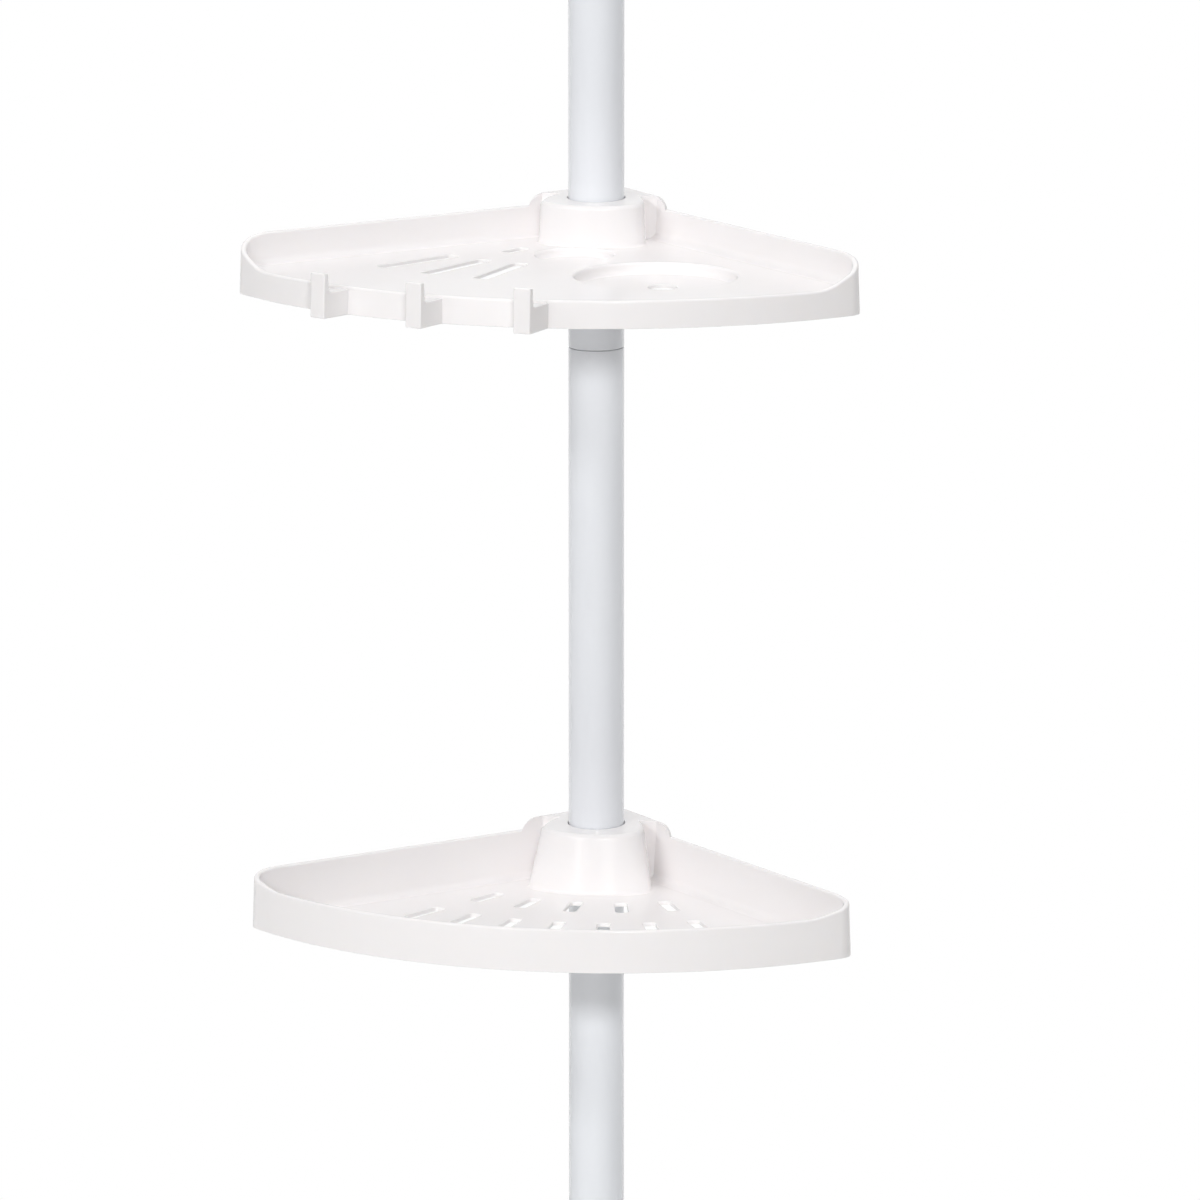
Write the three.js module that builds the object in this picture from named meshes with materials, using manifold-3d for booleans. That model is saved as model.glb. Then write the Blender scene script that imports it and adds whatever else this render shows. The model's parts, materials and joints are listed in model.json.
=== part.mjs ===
// Corner shelf unit on a sprung tension pole, in millimetres, +Z up.
// The origin is the middle of the rubber foot's underside, the pole is the Z axis,
// and the shelves' rounded fronts face -Y, with their back corner behind the pole.
import * as THREE from 'three';
import { mergeVertices } from 'three/addons/utils/BufferGeometryUtils.js';
import Module from 'manifold-3d';

const wasm = await Module();
wasm.setup();

// Fits and facets
const touchGap = 0.3;
const cutOverrun = 2;
const tubeSides = 36;
const partSides = 28;
const roundSides = 20;

// Pole sections
const poleDiameter = 25.4;
const poleWall = 0.8;
const sectionLength = 500;
const spigotLength = 45;
const spigotChamfer = 1.5;
const tubeEdgeRound = 0.4;

// Rubber feet on the floor and the ceiling, and the plugs that carry them
const footHeight = 12.5;
const footDiameter = 48;
const footTopDiameter = 29;
const footEdgeHeight = 3.5;
const footFaceThickness = 3.5;
const footGrooveDiameter = 33;
const footGrooveWidth = 3;
const footGrooveDepth = 1.2;
const footDomeShares = [[1, 0], [0.97, 0.22], [0.88, 0.42], [0.62, 0.66], [0.3, 0.84], [0.1, 0.94], [0, 1]];
const studDiameter = 10;
const plugFlangeThickness = 2.5;
const plugDepth = 28;
const plugHollowDiameter = 12;

// Collar on the mouth of the upper section
const collarSkirt = 20;
const collarWall = 2.2;
const collarLip = 6;
const collarRound = 1.5;

// Extension tube and where it stands in the upper section
const extensionDiameter = 22.2;
const extensionWall = 0.8;
const extensionLength = 650;
const extensionEngaged = 250;

// Twist lock at the bottom of the extension tube
const spindlePlugLength = 30;
const spindleFlange = 3;
const spindleDiameter = 9;
const spindleRodLength = 44;
const spindleTipDiameter = 6;
const sleeveLength = 30;
const sleeveCollar = 6;
const sleeveWall = 2;
const sleeveSlots = 4;
const sleeveSlotWidth = 1.6;
const coneLength = 20;
const coneTopDiameter = 12.6;
const coneBottomDiameter = 17.6;
const stopThickness = 3;
const stopDiameter = 15;

// Spring, its seat and the plunger
const springWire = 2.2;
const springMeanDiameter = 16.4;
const springTurns = 26;
const springEndTurns = 0.75;
const springLength = 180;
const springStepsPerTurn = 8;
const springWireSides = 5;
const seatHeight = 14;
const seatNoseHeight = 8;
const seatNoseDiameter = 12.4;
const pinDiameter = 3;
const pinClearance = 0.3;
const pinStandProud = 0.6;
const pistonHeight = 20;
const stemDiameter = 15.9;
const stemWall = 0.8;
const stemExposed = 94.7;
const stemSpigot = 18;
const bushFlange = 4;
const bushDepth = 25;
const bushRound = 1;

// Shelves on the pole
const seamBelowUpperShelf = 37.5;
const shelfSpacing = 290;

// Common to both shelves
const wallPlaneDistance = 27.1;
const draftDegrees = 2;
const wallTop = 26;
const tipRound = 8;
const backCornerRound = 16;
const wallThickness = 2.6;
const rimRound = 1.15;
const innerFillet = 3.4;
const underFillet = 0.7;
const rimDropBehindTip = 14;
const rimDropAheadOfTip = 24;
const hubTop = 31.8;
const hubCeiling = 3;
const hubTopFall = 1.3;
const hubHollowHalfWidth = 14;
const hubBlockFront = 7;
const hubShoulderRound = 6.5;
const hubEdgeRound = 1.8;
const bossWall = 2.4;
const bossSetback = 12.9;
const bossFrontDepth = 13.4;
const bossBackDepth = 33;
const poleHoleGap = 0.55;
const bossBaseFillet = 1;
const frontSteps = 15;
const tipSteps = 6;
const wallSteps = 8;
const backSteps = 3;
const bossFrontSteps = 8;
const bossBackSteps = 6;

// Tapered socket under the hub, its ribs, and the clip halves inside it
const socketTopRadius = 16.4;
const socketBottomRadius = 17.6;
const socketWall = 1.8;
const socketBottom = 1.5;
const socketRibs = 4;
const socketRibThickness = 1.8;
const clipBottom = 2;
const clipTop = 28;
const clipSplit = 1.4;

// Upper shelf
const upperShape = {
  frontY: -169.6,
  frontRadius: 188.6,
  floorTop: 11.8,
  floorThickness: 1.5,
  lipTop: 12.4,
  backRelief: 7.6,
  reliefStart: 22,
  reliefLength: 60,
  bossTopDiameter: 46.7,
  bossFloorDiameter: 48.1,
  hubHalfWidth: 31.7,
};
const upperSlotWidth = 7;
const upperSlotInner = 92;
const upperSlotOuter = 137;
const upperSlotFirstDegrees = -34.9;
const upperSlotPitchDegrees = 11.5;
const upperSlotCount = 3;
const shortSlotInner = 56;
const shortSlotOuter = 70;
const shortSlotDegrees = -28.2;
const shortSlotWidth = 6;
const tumblerX = 46;
const tumblerY = -92;
const tumblerRadius = 36;
const tumblerDepth = 5;
const tumblerFloorRound = 2.5;
const soapX = -1;
const soapY = -43;
const soapRadius = 17.5;
const soapDepth = 3.5;
const soapFloorRound = 2;
const recessRimRound = 1.2;
const recessWall = 1.5;
const drainDiameter = 13;
const drainOffsetX = 3;
const hookCount = 3;
const hookFirstDegrees = -26.2;
const hookPitchDegrees = 13.9;
const hookWebFirstDegrees = -28.5;
const hookWebPitchDegrees = 6.9;
const hookReach = 15.5;
const hookWidth = 8.2;
const hookTabTop = 20;
const hookTabThickness = 3.2;
const hookTabDraft = 0.5;
const hookSeat = 4;

// Lower shelf
const lowerShape = {
  frontY: -159.3,
  frontRadius: 200.5,
  floorTop: 3.6,
  floorThickness: 1.8,
  lipTop: 19.4,
  backRelief: 0,
  reliefStart: 22,
  reliefLength: 60,
  bossTopDiameter: 46.4,
  bossFloorDiameter: 56.4,
  hubHalfWidth: 34.8,
};
const lowerSlotWidth = 5.8;
const lowerBackRow = { radius: 92.5, length: 18.5, pitchDegrees: 13.6, count: 5 };
const lowerFrontRow = { radius: 133, length: 22.5, pitchDegrees: 9.5, count: 7 };
const slotCornerRound = 1.6;

// Sizes that follow from the ones above
const poleRadius = poleDiameter / 2;
const poleBore = poleRadius - poleWall;
const spigotRadius = poleBore - touchGap;
const spigotBore = spigotRadius - poleWall;
const extensionRadius = extensionDiameter / 2;
const extensionBore = extensionRadius - extensionWall;
const stemRadius = stemDiameter / 2;
const stemBore = stemRadius - stemWall;
const studRadius = studDiameter / 2;
const spindleRadius = spindleDiameter / 2;
const holeRadius = poleRadius + poleHoleGap;
const lowerSectionBottom = footHeight;
const lowerSeam = lowerSectionBottom + sectionLength;
const upperSeam = lowerSeam + sectionLength;
const poleTop = upperSeam + sectionLength;
const upperShelfHeight = upperSeam + seamBelowUpperShelf;
const lowerShelfHeight = upperShelfHeight - shelfSpacing;
const extensionBottom = poleTop - extensionEngaged;
const extensionTop = extensionBottom + extensionLength;
const bushTop = extensionTop + touchGap + bushFlange;
const stemTop = bushTop + stemExposed;
const overallHeight = stemTop + footHeight;
const pistonTop = extensionTop - bushDepth - touchGap;
const pistonBottom = pistonTop - pistonHeight;
const springBottom = pistonBottom - touchGap - springLength;
const seatTop = springBottom - touchGap;
const seatBottom = seatTop - seatHeight;
const draftSlope = Math.tan(THREE.MathUtils.degToRad(draftDegrees));

// Finishes
const whitePlastic = new THREE.MeshStandardMaterial({ color: 0xf4f1ee, roughness: 0.32, metalness: 0 });
const paintedSteel = new THREE.MeshStandardMaterial({ color: 0xf1f3f7, roughness: 0.3, metalness: 0 });
const greyRubber = new THREE.MeshStandardMaterial({ color: 0xb9b9b6, roughness: 0.8, metalness: 0 });
const innerPlastic = new THREE.MeshStandardMaterial({ color: 0xe4e4e0, roughness: 0.45, metalness: 0 });
const zincSteel = new THREE.MeshStandardMaterial({ color: 0xa8abb0, roughness: 0.35, metalness: 0.9 });

// Solids and geometry

function withoutSlivers(geometry) {
  const bare = geometry.clone();
  bare.deleteAttribute('normal');
  bare.deleteAttribute('uv');
  const merged = mergeVertices(bare);
  const kept = [];
  const index = merged.index.array;
  for (let i = 0; i < index.length; i += 3) {
    const [a, b, c] = [index[i], index[i + 1], index[i + 2]];
    if (a !== b && b !== c && c !== a) kept.push(a, b, c);
  }
  merged.setIndex(kept);
  return merged;
}

function solidOf(geometry) {
  const clean = withoutSlivers(geometry);
  return new wasm.Manifold(new wasm.Mesh({
    numProp: 3,
    vertProperties: Float32Array.from(clean.attributes.position.array),
    triVerts: Uint32Array.from(clean.index.array),
  }));
}

function geometryOf(solid) {
  const mesh = solid.getMesh();
  const geometry = new THREE.BufferGeometry();
  geometry.setAttribute('position', new THREE.BufferAttribute(Float32Array.from(mesh.vertProperties), 3));
  geometry.setIndex(Array.from(mesh.triVerts));
  return geometry;
}

// A profile of [radius, height] pairs, anticlockwise with the height up, turned about Z.
function turned(profile, sides) {
  const points = profile.map(([radius, height]) => new THREE.Vector2(radius, height));
  const first = profile[0];
  const last = profile[profile.length - 1];
  if (first[0] > 0 || last[0] > 0) points.push(points[0].clone());
  return new THREE.LatheGeometry(points, sides).rotateX(Math.PI / 2);
}

function ring(innerRadius, outerRadius, bottom, top, sides) {
  return turned([[innerRadius, bottom], [outerRadius, bottom], [outerRadius, top], [innerRadius, top]], sides);
}

function rod(radius, bottom, top, sides) {
  return turned([[0, bottom], [radius, bottom], [radius, top], [0, top]], sides);
}

function box(sizeX, sizeY, bottom, top) {
  return new THREE.BoxGeometry(sizeX, sizeY, top - bottom).translate(0, 0, (top + bottom) / 2);
}

// Closed skin over rings of equal length, capped at both ends; the rings run anticlockwise from above.
function lofted(rings) {
  const count = rings[0].length;
  const positions = rings.flat().flatMap((point) => [point.x, point.y, point.z]);
  const index = [];
  for (let level = 0; level + 1 < rings.length; level += 1) {
    for (let i = 0; i < count; i += 1) {
      const next = (i + 1) % count;
      const [a, b] = [level * count + i, level * count + next];
      index.push(a, b, b + count, a, b + count, a + count);
    }
  }
  const flat = (points) => points.map((point) => new THREE.Vector2(point.x, point.y));
  const lastStart = (rings.length - 1) * count;
  for (const [a, b, c] of THREE.ShapeUtils.triangulateShape(flat(rings[0]), [])) index.push(a, c, b);
  for (const [a, b, c] of THREE.ShapeUtils.triangulateShape(flat(rings[rings.length - 1]), [])) {
    index.push(lastStart + a, lastStart + b, lastStart + c);
  }
  const geometry = new THREE.BufferGeometry();
  geometry.setAttribute('position', new THREE.Float32BufferAttribute(positions, 3));
  geometry.setIndex(index);
  return geometry;
}

// Pole

function poleSection(bottom, top, hasSpigot) {
  if (!hasSpigot) return ring(poleBore, poleRadius, bottom, top, tubeSides);
  const end = top + spigotLength;
  const neckBelow = poleWall;
  return turned([
    [poleBore, bottom],
    [poleRadius, bottom],
    [poleRadius, top - tubeEdgeRound],
    [poleRadius - tubeEdgeRound, top],
    [spigotRadius, top],
    [spigotRadius, end - spigotChamfer],
    [spigotBore + tubeEdgeRound, end],
    [spigotBore, end],
    [spigotBore, top - neckBelow],
    [poleBore, top - neckBelow - poleWall],
  ], tubeSides);
}

// The rubber foot, standing on z = 0, with a blind hole for its stud.
function rubberFoot() {
  const edgeRadius = footDiameter / 2;
  const topRadius = footTopDiameter / 2;
  const bodyTop = footHeight - plugFlangeThickness - touchGap;
  const holeWall = studRadius + touchGap;
  const grooveInner = (footGrooveDiameter - footGrooveWidth) / 2;
  const grooveOuter = (footGrooveDiameter + footGrooveWidth) / 2;
  const dome = footDomeShares.map(([outShare, upShare]) => [
    topRadius + (edgeRadius - topRadius) * outShare,
    footEdgeHeight + (bodyTop - footEdgeHeight) * upShare,
  ]);
  return turned([
    [0, 0],
    [grooveInner, 0],
    [grooveInner, footGrooveDepth],
    [grooveOuter, footGrooveDepth],
    [grooveOuter, 0],
    [edgeRadius - tubeEdgeRound, 0],
    [edgeRadius, tubeEdgeRound],
    ...dome,
    [holeWall, bodyTop],
    [holeWall, footFaceThickness],
    [0, footFaceThickness],
  ], partSides);
}

// A plug in a tube end that starts at footHeight, with its flange below and a stud in the foot.
function footPlug(tubeRadius, tubeBore) {
  const flangeBottom = footHeight - plugFlangeThickness;
  const flangeTop = footHeight - touchGap;
  const spigot = tubeBore - touchGap;
  const hollow = Math.min(plugHollowDiameter / 2, spigot - poleWall);
  const end = footHeight + plugDepth;
  return turned([
    [0, footFaceThickness + touchGap],
    [studRadius, footFaceThickness + touchGap],
    [studRadius, flangeBottom],
    [tubeRadius, flangeBottom],
    [tubeRadius, flangeTop],
    [spigot, flangeTop],
    [spigot, end - spigotChamfer],
    [spigot - spigotChamfer, end],
    [hollow, end],
    [hollow, flangeTop],
    [0, flangeTop],
  ], partSides);
}

function tubeCollar() {
  const inner = poleRadius + touchGap;
  const outer = inner + collarWall;
  const guide = extensionRadius + touchGap;
  const seat = poleTop + touchGap;
  const top = poleTop + collarLip;
  return turned([
    [inner, poleTop - collarSkirt],
    [outer, poleTop - collarSkirt],
    [outer, top - collarRound],
    [outer - collarRound, top],
    [guide, top],
    [guide, seat],
    [inner, seat],
  ], tubeSides);
}

// Telescoping extension and its twist lock

function extensionTube() {
  const tube = solidOf(ring(extensionBore, extensionRadius, extensionBottom, extensionTop, tubeSides));
  return geometryOf(tube.subtract(solidOf(pinHole())));
}

function pinHeight() {
  return (seatTop + seatBottom) / 2;
}

function pinBar(radius, halfLength) {
  return rod(radius, -halfLength, halfLength, roundSides)
    .rotateY(Math.PI / 2)
    .translate(0, 0, pinHeight());
}

function pinHole() {
  return pinBar(pinDiameter / 2 + pinClearance, extensionRadius + cutOverrun);
}

function seatPin() {
  return pinBar(pinDiameter / 2, extensionRadius + pinStandProud);
}

function lockSpindle() {
  const plugRadius = extensionBore - touchGap;
  const flangeTop = extensionBottom - touchGap;
  const flangeBottom = flangeTop - spindleFlange;
  const rodEnd = flangeBottom - spindleRodLength;
  const tipEnd = rodEnd - stopThickness;
  const tipRadius = spindleTipDiameter / 2;
  return turned([
    [0, tipEnd],
    [tipRadius, tipEnd],
    [tipRadius, rodEnd],
    [spindleRadius, rodEnd],
    [spindleRadius, flangeBottom],
    [extensionRadius, flangeBottom],
    [extensionRadius, flangeTop],
    [plugRadius, flangeTop],
    [plugRadius, extensionBottom + spindlePlugLength - spigotChamfer],
    [plugRadius - spigotChamfer, extensionBottom + spindlePlugLength],
    [0, extensionBottom + spindlePlugLength],
  ], partSides);
}

function spindleEnd() {
  return extensionBottom - touchGap - spindleFlange - spindleRodLength;
}

function spindleStop() {
  const bore = spindleTipDiameter / 2 + touchGap;
  const top = spindleEnd() - touchGap;
  return ring(bore, stopDiameter / 2, top - stopThickness, top, partSides);
}

function sleeveTop() {
  return extensionBottom - touchGap - spindleFlange - touchGap;
}

// Split sleeve: its inside widens downwards along the cone nut, and slots let its skirt spread.
function lockSleeve() {
  const outer = spigotRadius;
  const top = sleeveTop();
  const bottom = top - sleeveLength;
  const mouth = coneBottomDiameter / 2 + touchGap;
  const throat = coneTopDiameter / 2 + touchGap;
  const coneTop = bottom + coneLength;
  const body = turned([
    [mouth, bottom],
    [outer, bottom],
    [outer, top - tubeEdgeRound],
    [outer - tubeEdgeRound, top],
    [spindleRadius + touchGap, top],
    [spindleRadius + touchGap, top - sleeveCollar],
    [throat, coneTop],
  ], partSides);
  let sleeve = solidOf(body);
  const slotTop = top - sleeveCollar - sleeveWall;
  for (let i = 0; i < sleeveSlots; i += 1) {
    const slot = new THREE.BoxGeometry(outer + cutOverrun, sleeveSlotWidth, slotTop - bottom + cutOverrun)
      .translate((outer + cutOverrun) / 2, 0, (slotTop + bottom - cutOverrun) / 2)
      .rotateZ(((i + 1 / 2) * 2 * Math.PI) / sleeveSlots);
    sleeve = sleeve.subtract(solidOf(slot));
  }
  return geometryOf(sleeve);
}

function lockCone() {
  const bottom = sleeveTop() - sleeveLength;
  const bore = spindleRadius + touchGap;
  return turned([
    [bore, bottom],
    [coneBottomDiameter / 2, bottom],
    [coneTopDiameter / 2, bottom + coneLength - touchGap],
    [bore, bottom + coneLength - touchGap],
  ], partSides);
}

// Spring and plunger

function springSeat() {
  const outer = extensionBore - touchGap;
  const nose = seatNoseDiameter / 2;
  const noseTop = seatTop + seatNoseHeight;
  const body = turned([
    [0, seatBottom],
    [outer - spigotChamfer, seatBottom],
    [outer, seatBottom + spigotChamfer],
    [outer, seatTop],
    [nose, seatTop],
    [nose, noseTop - spigotChamfer],
    [nose - spigotChamfer, noseTop],
    [0, noseTop],
  ], partSides);
  return geometryOf(solidOf(body).subtract(solidOf(pinHole())));
}

// Height of the wire's middle after a number of turns: flat end turns, and an even pitch between them.
function springRise(turn) {
  const wireTravel = springLength - springWire;
  const active = springTurns - 2 * springEndTurns;
  const endPitch = springWire * (1 + touchGap);
  const endRise = springEndTurns * endPitch;
  const pitch = (wireTravel - 2 * endRise) / active;
  const lower = Math.min(turn, springEndTurns) * endPitch;
  const middle = THREE.MathUtils.clamp(turn - springEndTurns, 0, active) * pitch;
  const upper = Math.max(turn - springEndTurns - active, 0) * endPitch;
  return springBottom + springWire / 2 + lower + middle + upper;
}

// Middle line of the wire, a point for each step, with a straight end one wire thick at both ends.
function springLine() {
  const steps = springTurns * springStepsPerTurn;
  const meanRadius = springMeanDiameter / 2;
  const line = [];
  for (let i = 0; i <= steps; i += 1) {
    const turn = i / springStepsPerTurn;
    const angle = turn * 2 * Math.PI;
    const outward = new THREE.Vector3(Math.cos(angle), Math.sin(angle), 0);
    line.push({ point: outward.clone().multiplyScalar(meanRadius).setZ(springRise(turn)), outward });
  }
  const straightEnd = ({ point, outward }, direction) => {
    const along = new THREE.Vector3(-outward.y, outward.x, 0).multiplyScalar(direction * springWire);
    return { point: point.clone().add(along), outward };
  };
  return [straightEnd(line[0], -1), ...line, straightEnd(line[steps], 1)];
}

// Closed skin along the wire, with a fan over each end.
function springWireTube() {
  const line = springLine();
  const sides = springWireSides;
  const positions = [];
  const index = [];
  for (const { point, outward } of line) {
    for (let side = 0; side < sides; side += 1) {
      const around = (side * 2 * Math.PI) / sides;
      const inward = (-springWire / 2) * Math.cos(around);
      const upward = (springWire / 2) * Math.sin(around);
      positions.push(point.x + outward.x * inward, point.y + outward.y * inward, point.z + upward);
    }
  }
  for (let i = 0; i + 1 < line.length; i += 1) {
    for (let side = 0; side < sides; side += 1) {
      const [a, b] = [i * sides + side, i * sides + ((side + 1) % sides)];
      index.push(a, b, a + sides, b, b + sides, a + sides);
    }
  }
  const last = (line.length - 1) * sides;
  for (let side = 1; side + 1 < sides; side += 1) {
    index.push(0, side + 1, side);
    index.push(last, last + side, last + side + 1);
  }
  const geometry = new THREE.BufferGeometry();
  geometry.setAttribute('position', new THREE.Float32BufferAttribute(positions, 3));
  geometry.setIndex(index);
  return geometry;
}

// Least gap between the wire and its own next turns, measured on the middle line's points.
function leastSpringGap() {
  const points = springLine().map(({ point }) => point);
  let least = Infinity;
  for (let i = 0; i < points.length; i += 1) {
    for (let j = i + springStepsPerTurn / 2; j < points.length; j += 1) {
      least = Math.min(least, points[i].distanceTo(points[j]) - springWire);
    }
  }
  return least;
}

function plungerPiston() {
  const outer = extensionBore - touchGap - tubeEdgeRound;
  const nose = seatNoseDiameter / 2;
  const spigot = stemBore - touchGap;
  const noseBottom = pistonBottom - seatNoseHeight;
  return turned([
    [0, noseBottom],
    [nose - spigotChamfer, noseBottom],
    [nose, noseBottom + spigotChamfer],
    [nose, pistonBottom],
    [outer, pistonBottom],
    [outer, pistonTop],
    [spigot, pistonTop],
    [spigot, pistonTop + stemSpigot - spigotChamfer],
    [spigot - spigotChamfer, pistonTop + stemSpigot],
    [0, pistonTop + stemSpigot],
  ], partSides);
}

function topBush() {
  const bore = stemRadius + touchGap;
  const plug = extensionBore - touchGap;
  const flangeBottom = extensionTop + touchGap;
  const flangeRadius = extensionRadius + bushRound;
  return turned([
    [bore, extensionTop - bushDepth],
    [plug, extensionTop - bushDepth],
    [plug, flangeBottom],
    [flangeRadius, flangeBottom],
    [flangeRadius, bushTop - bushRound],
    [flangeRadius - bushRound, bushTop],
    [bore, bushTop],
  ], partSides);
}

// Shelf outline: stations with a point, its outward normal and the run along the edge from the wing tip,
// which is positive towards the front. Moving a station along its normal offsets the outline.

function smoothShare(value) {
  const share = THREE.MathUtils.clamp(value, 0, 1);
  return share * share * (3 - 2 * share);
}

function station(centre, angle, radius, run) {
  const normal = new THREE.Vector2(Math.cos(angle), Math.sin(angle));
  return { point: centre.clone().addScaledVector(normal, radius), normal, run };
}

function halfOutline(shape) {
  const arcCentre = new THREE.Vector2(0, shape.frontY + shape.frontRadius);
  const wallAngle = Math.PI / 4;
  const wallNormal = new THREE.Vector2(Math.cos(wallAngle), Math.sin(wallAngle));
  const tipRadius = shape.frontRadius - tipRound;
  const tipLine = wallPlaneDistance - tipRound;
  const along = Math.sqrt(tipRadius ** 2 - (tipLine - arcCentre.dot(wallNormal)) ** 2)
    + arcCentre.x * wallNormal.y - arcCentre.y * wallNormal.x;
  const tipCentre = wallNormal.clone().multiplyScalar(tipLine)
    .add(new THREE.Vector2(wallNormal.y, -wallNormal.x).multiplyScalar(along));
  const tipStart = Math.atan2(tipCentre.y - arcCentre.y, tipCentre.x - arcCentre.x);
  const backCentre = new THREE.Vector2(0, (wallPlaneDistance - backCornerRound) / wallNormal.y);
  const stations = [];
  const frontAngle = tipStart + Math.PI / 2;
  for (let i = 0; i < frontSteps; i += 1) {
    const share = Math.sin((i / frontSteps) * (Math.PI / 2));
    const angle = -Math.PI / 2 + frontAngle * share;
    const run = -tipStart * tipRound + shape.frontRadius * (tipStart - angle);
    stations.push(station(arcCentre, angle, shape.frontRadius, run));
  }
  for (let i = 0; i <= tipSteps; i += 1) {
    const angle = tipStart + (wallAngle - tipStart) * (i / tipSteps);
    stations.push(station(tipCentre, angle, tipRound, -angle * tipRound));
  }
  const wallStart = tipCentre.clone().addScaledVector(wallNormal, tipRound);
  const wallEnd = backCentre.clone().addScaledVector(wallNormal, backCornerRound);
  const wallLength = wallStart.distanceTo(wallEnd);
  for (let i = 1; i < wallSteps; i += 1) {
    const share = (i / wallSteps) ** 2;
    const point = wallStart.clone().lerp(wallEnd, share);
    stations.push({ point, normal: wallNormal.clone(), run: -wallAngle * tipRound - wallLength * share });
  }
  for (let i = 0; i <= backSteps; i += 1) {
    const angle = wallAngle + wallAngle * (i / backSteps);
    stations.push(station(backCentre, angle, backCornerRound, -wallLength - angle * tipRound));
  }
  return stations;
}

function shelfOutline(shape) {
  const right = halfOutline(shape);
  const mirrored = right.slice(1, -1).reverse().map(({ point, normal, run }) => ({
    point: new THREE.Vector2(-point.x, point.y),
    normal: new THREE.Vector2(-normal.x, normal.y),
    run,
  }));
  return [...right, ...mirrored];
}

function offsetPoint({ point, normal }, inset, height) {
  return new THREE.Vector3(point.x - normal.x * inset, point.y - normal.y * inset, height);
}

// Tray: from the floor's underside down inside the skirt, up the drafted outside, over the rounded rim,
// down inside the wall and through a fillet to the floor.
function trayShell(shape) {
  const bevelShare = 1 - Math.SQRT1_2;
  const floorUnder = shape.floorTop - shape.floorThickness;
  const rings = [];
  const outline = shelfOutline(shape).map((place) => {
    const drop = smoothShare((place.run + rimDropBehindTip) / (rimDropBehindTip + rimDropAheadOfTip));
    const rim = wallTop + (shape.lipTop - wallTop) * drop;
    const bottom = shape.backRelief * smoothShare((-place.run - shape.reliefStart) / shape.reliefLength);
    const rise = rim - shape.floorTop;
    const innerRound = Math.min(rimRound, rise / 2);
    return {
      place, rim, bottom, innerRound, fillet: Math.min(innerFillet, rise - innerRound),
      lean: draftSlope * (rim - rimRound),
    };
  });
  const level = (insetOf, heightOf) => rings.push(
    outline.map((edge) => offsetPoint(edge.place, insetOf(edge), heightOf(edge))),
  );
  level(() => wallThickness + underFillet, () => floorUnder);
  level(() => wallThickness, () => floorUnder - underFillet);
  level((edge) => wallThickness + draftSlope * edge.bottom, (edge) => edge.bottom);
  level((edge) => draftSlope * edge.bottom, (edge) => edge.bottom);
  level((edge) => edge.lean, (edge) => edge.rim - rimRound);
  level((edge) => edge.lean + rimRound * bevelShare, (edge) => edge.rim - rimRound * bevelShare);
  level((edge) => edge.lean + rimRound, (edge) => edge.rim);
  level((edge) => edge.lean + wallThickness - edge.innerRound, (edge) => edge.rim);
  level(
    (edge) => edge.lean + wallThickness - edge.innerRound * bevelShare,
    (edge) => edge.rim - edge.innerRound * bevelShare,
  );
  level((edge) => edge.lean + wallThickness, (edge) => edge.rim - edge.innerRound);
  const foot = ({ rim, innerRound, fillet, lean }) => (
    lean + wallThickness + draftSlope * (rim - innerRound - shape.floorTop - fillet)
  );
  level(foot, (edge) => shape.floorTop + edge.fillet);
  level((edge) => foot(edge) + edge.fillet * bevelShare, (edge) => shape.floorTop + edge.fillet * bevelShare);
  level((edge) => foot(edge) + edge.fillet, () => shape.floorTop);
  return lofted(rings);
}

function bossRadius(shape, height) {
  const topRadius = shape.bossTopDiameter / 2;
  const floorRadius = shape.bossFloorDiameter / 2;
  return topRadius + ((floorRadius - topRadius) * (hubTop - height)) / (hubTop - shape.floorTop);
}

// Height lost by the hub's top, which falls from the back corner towards the boss's front.
function topFall(y) {
  return (hubTopFall * (wallPlaneDistance - y)) / (2 * wallPlaneDistance);
}

// Plan of the boss: a flat half oval in front of its widest line and a long one behind it.
function bossSection(shape, height, inset, heightOf) {
  const half = bossRadius(shape, height);
  const points = [];
  const place = (angle, depth) => {
    const x = (half - inset) * Math.cos(angle);
    const y = bossSetback - half + (depth - inset) * Math.sin(angle);
    points.push(new THREE.Vector3(x, y, heightOf(y)));
  };
  for (let i = 0; i < bossFrontSteps; i += 1) place((i / bossFrontSteps - 1) * (Math.PI / 2), bossFrontDepth);
  for (let i = 0; i < 2 * bossBackSteps; i += 1) place((i / bossBackSteps) * (Math.PI / 2), bossBackDepth);
  for (let i = 0; i < bossFrontSteps; i += 1) place((i / bossFrontSteps + 2) * (Math.PI / 2), bossFrontDepth);
  return points;
}

function bossOuter(shape) {
  const bottom = shape.floorTop - shape.floorThickness;
  const filletTop = shape.floorTop + bossBaseFillet;
  const bevelShare = 1 - Math.SQRT1_2;
  const top = (inset, below) => bossSection(shape, hubTop - below, inset, (y) => hubTop - topFall(y) - below);
  return lofted([
    bossSection(shape, shape.floorTop, -bossBaseFillet, () => bottom),
    bossSection(shape, shape.floorTop, -bossBaseFillet, () => shape.floorTop),
    bossSection(shape, filletTop, 0, () => filletTop),
    top(0, hubEdgeRound),
    top(hubEdgeRound * bevelShare, hubEdgeRound * bevelShare),
    top(hubEdgeRound, 0),
  ]);
}

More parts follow.
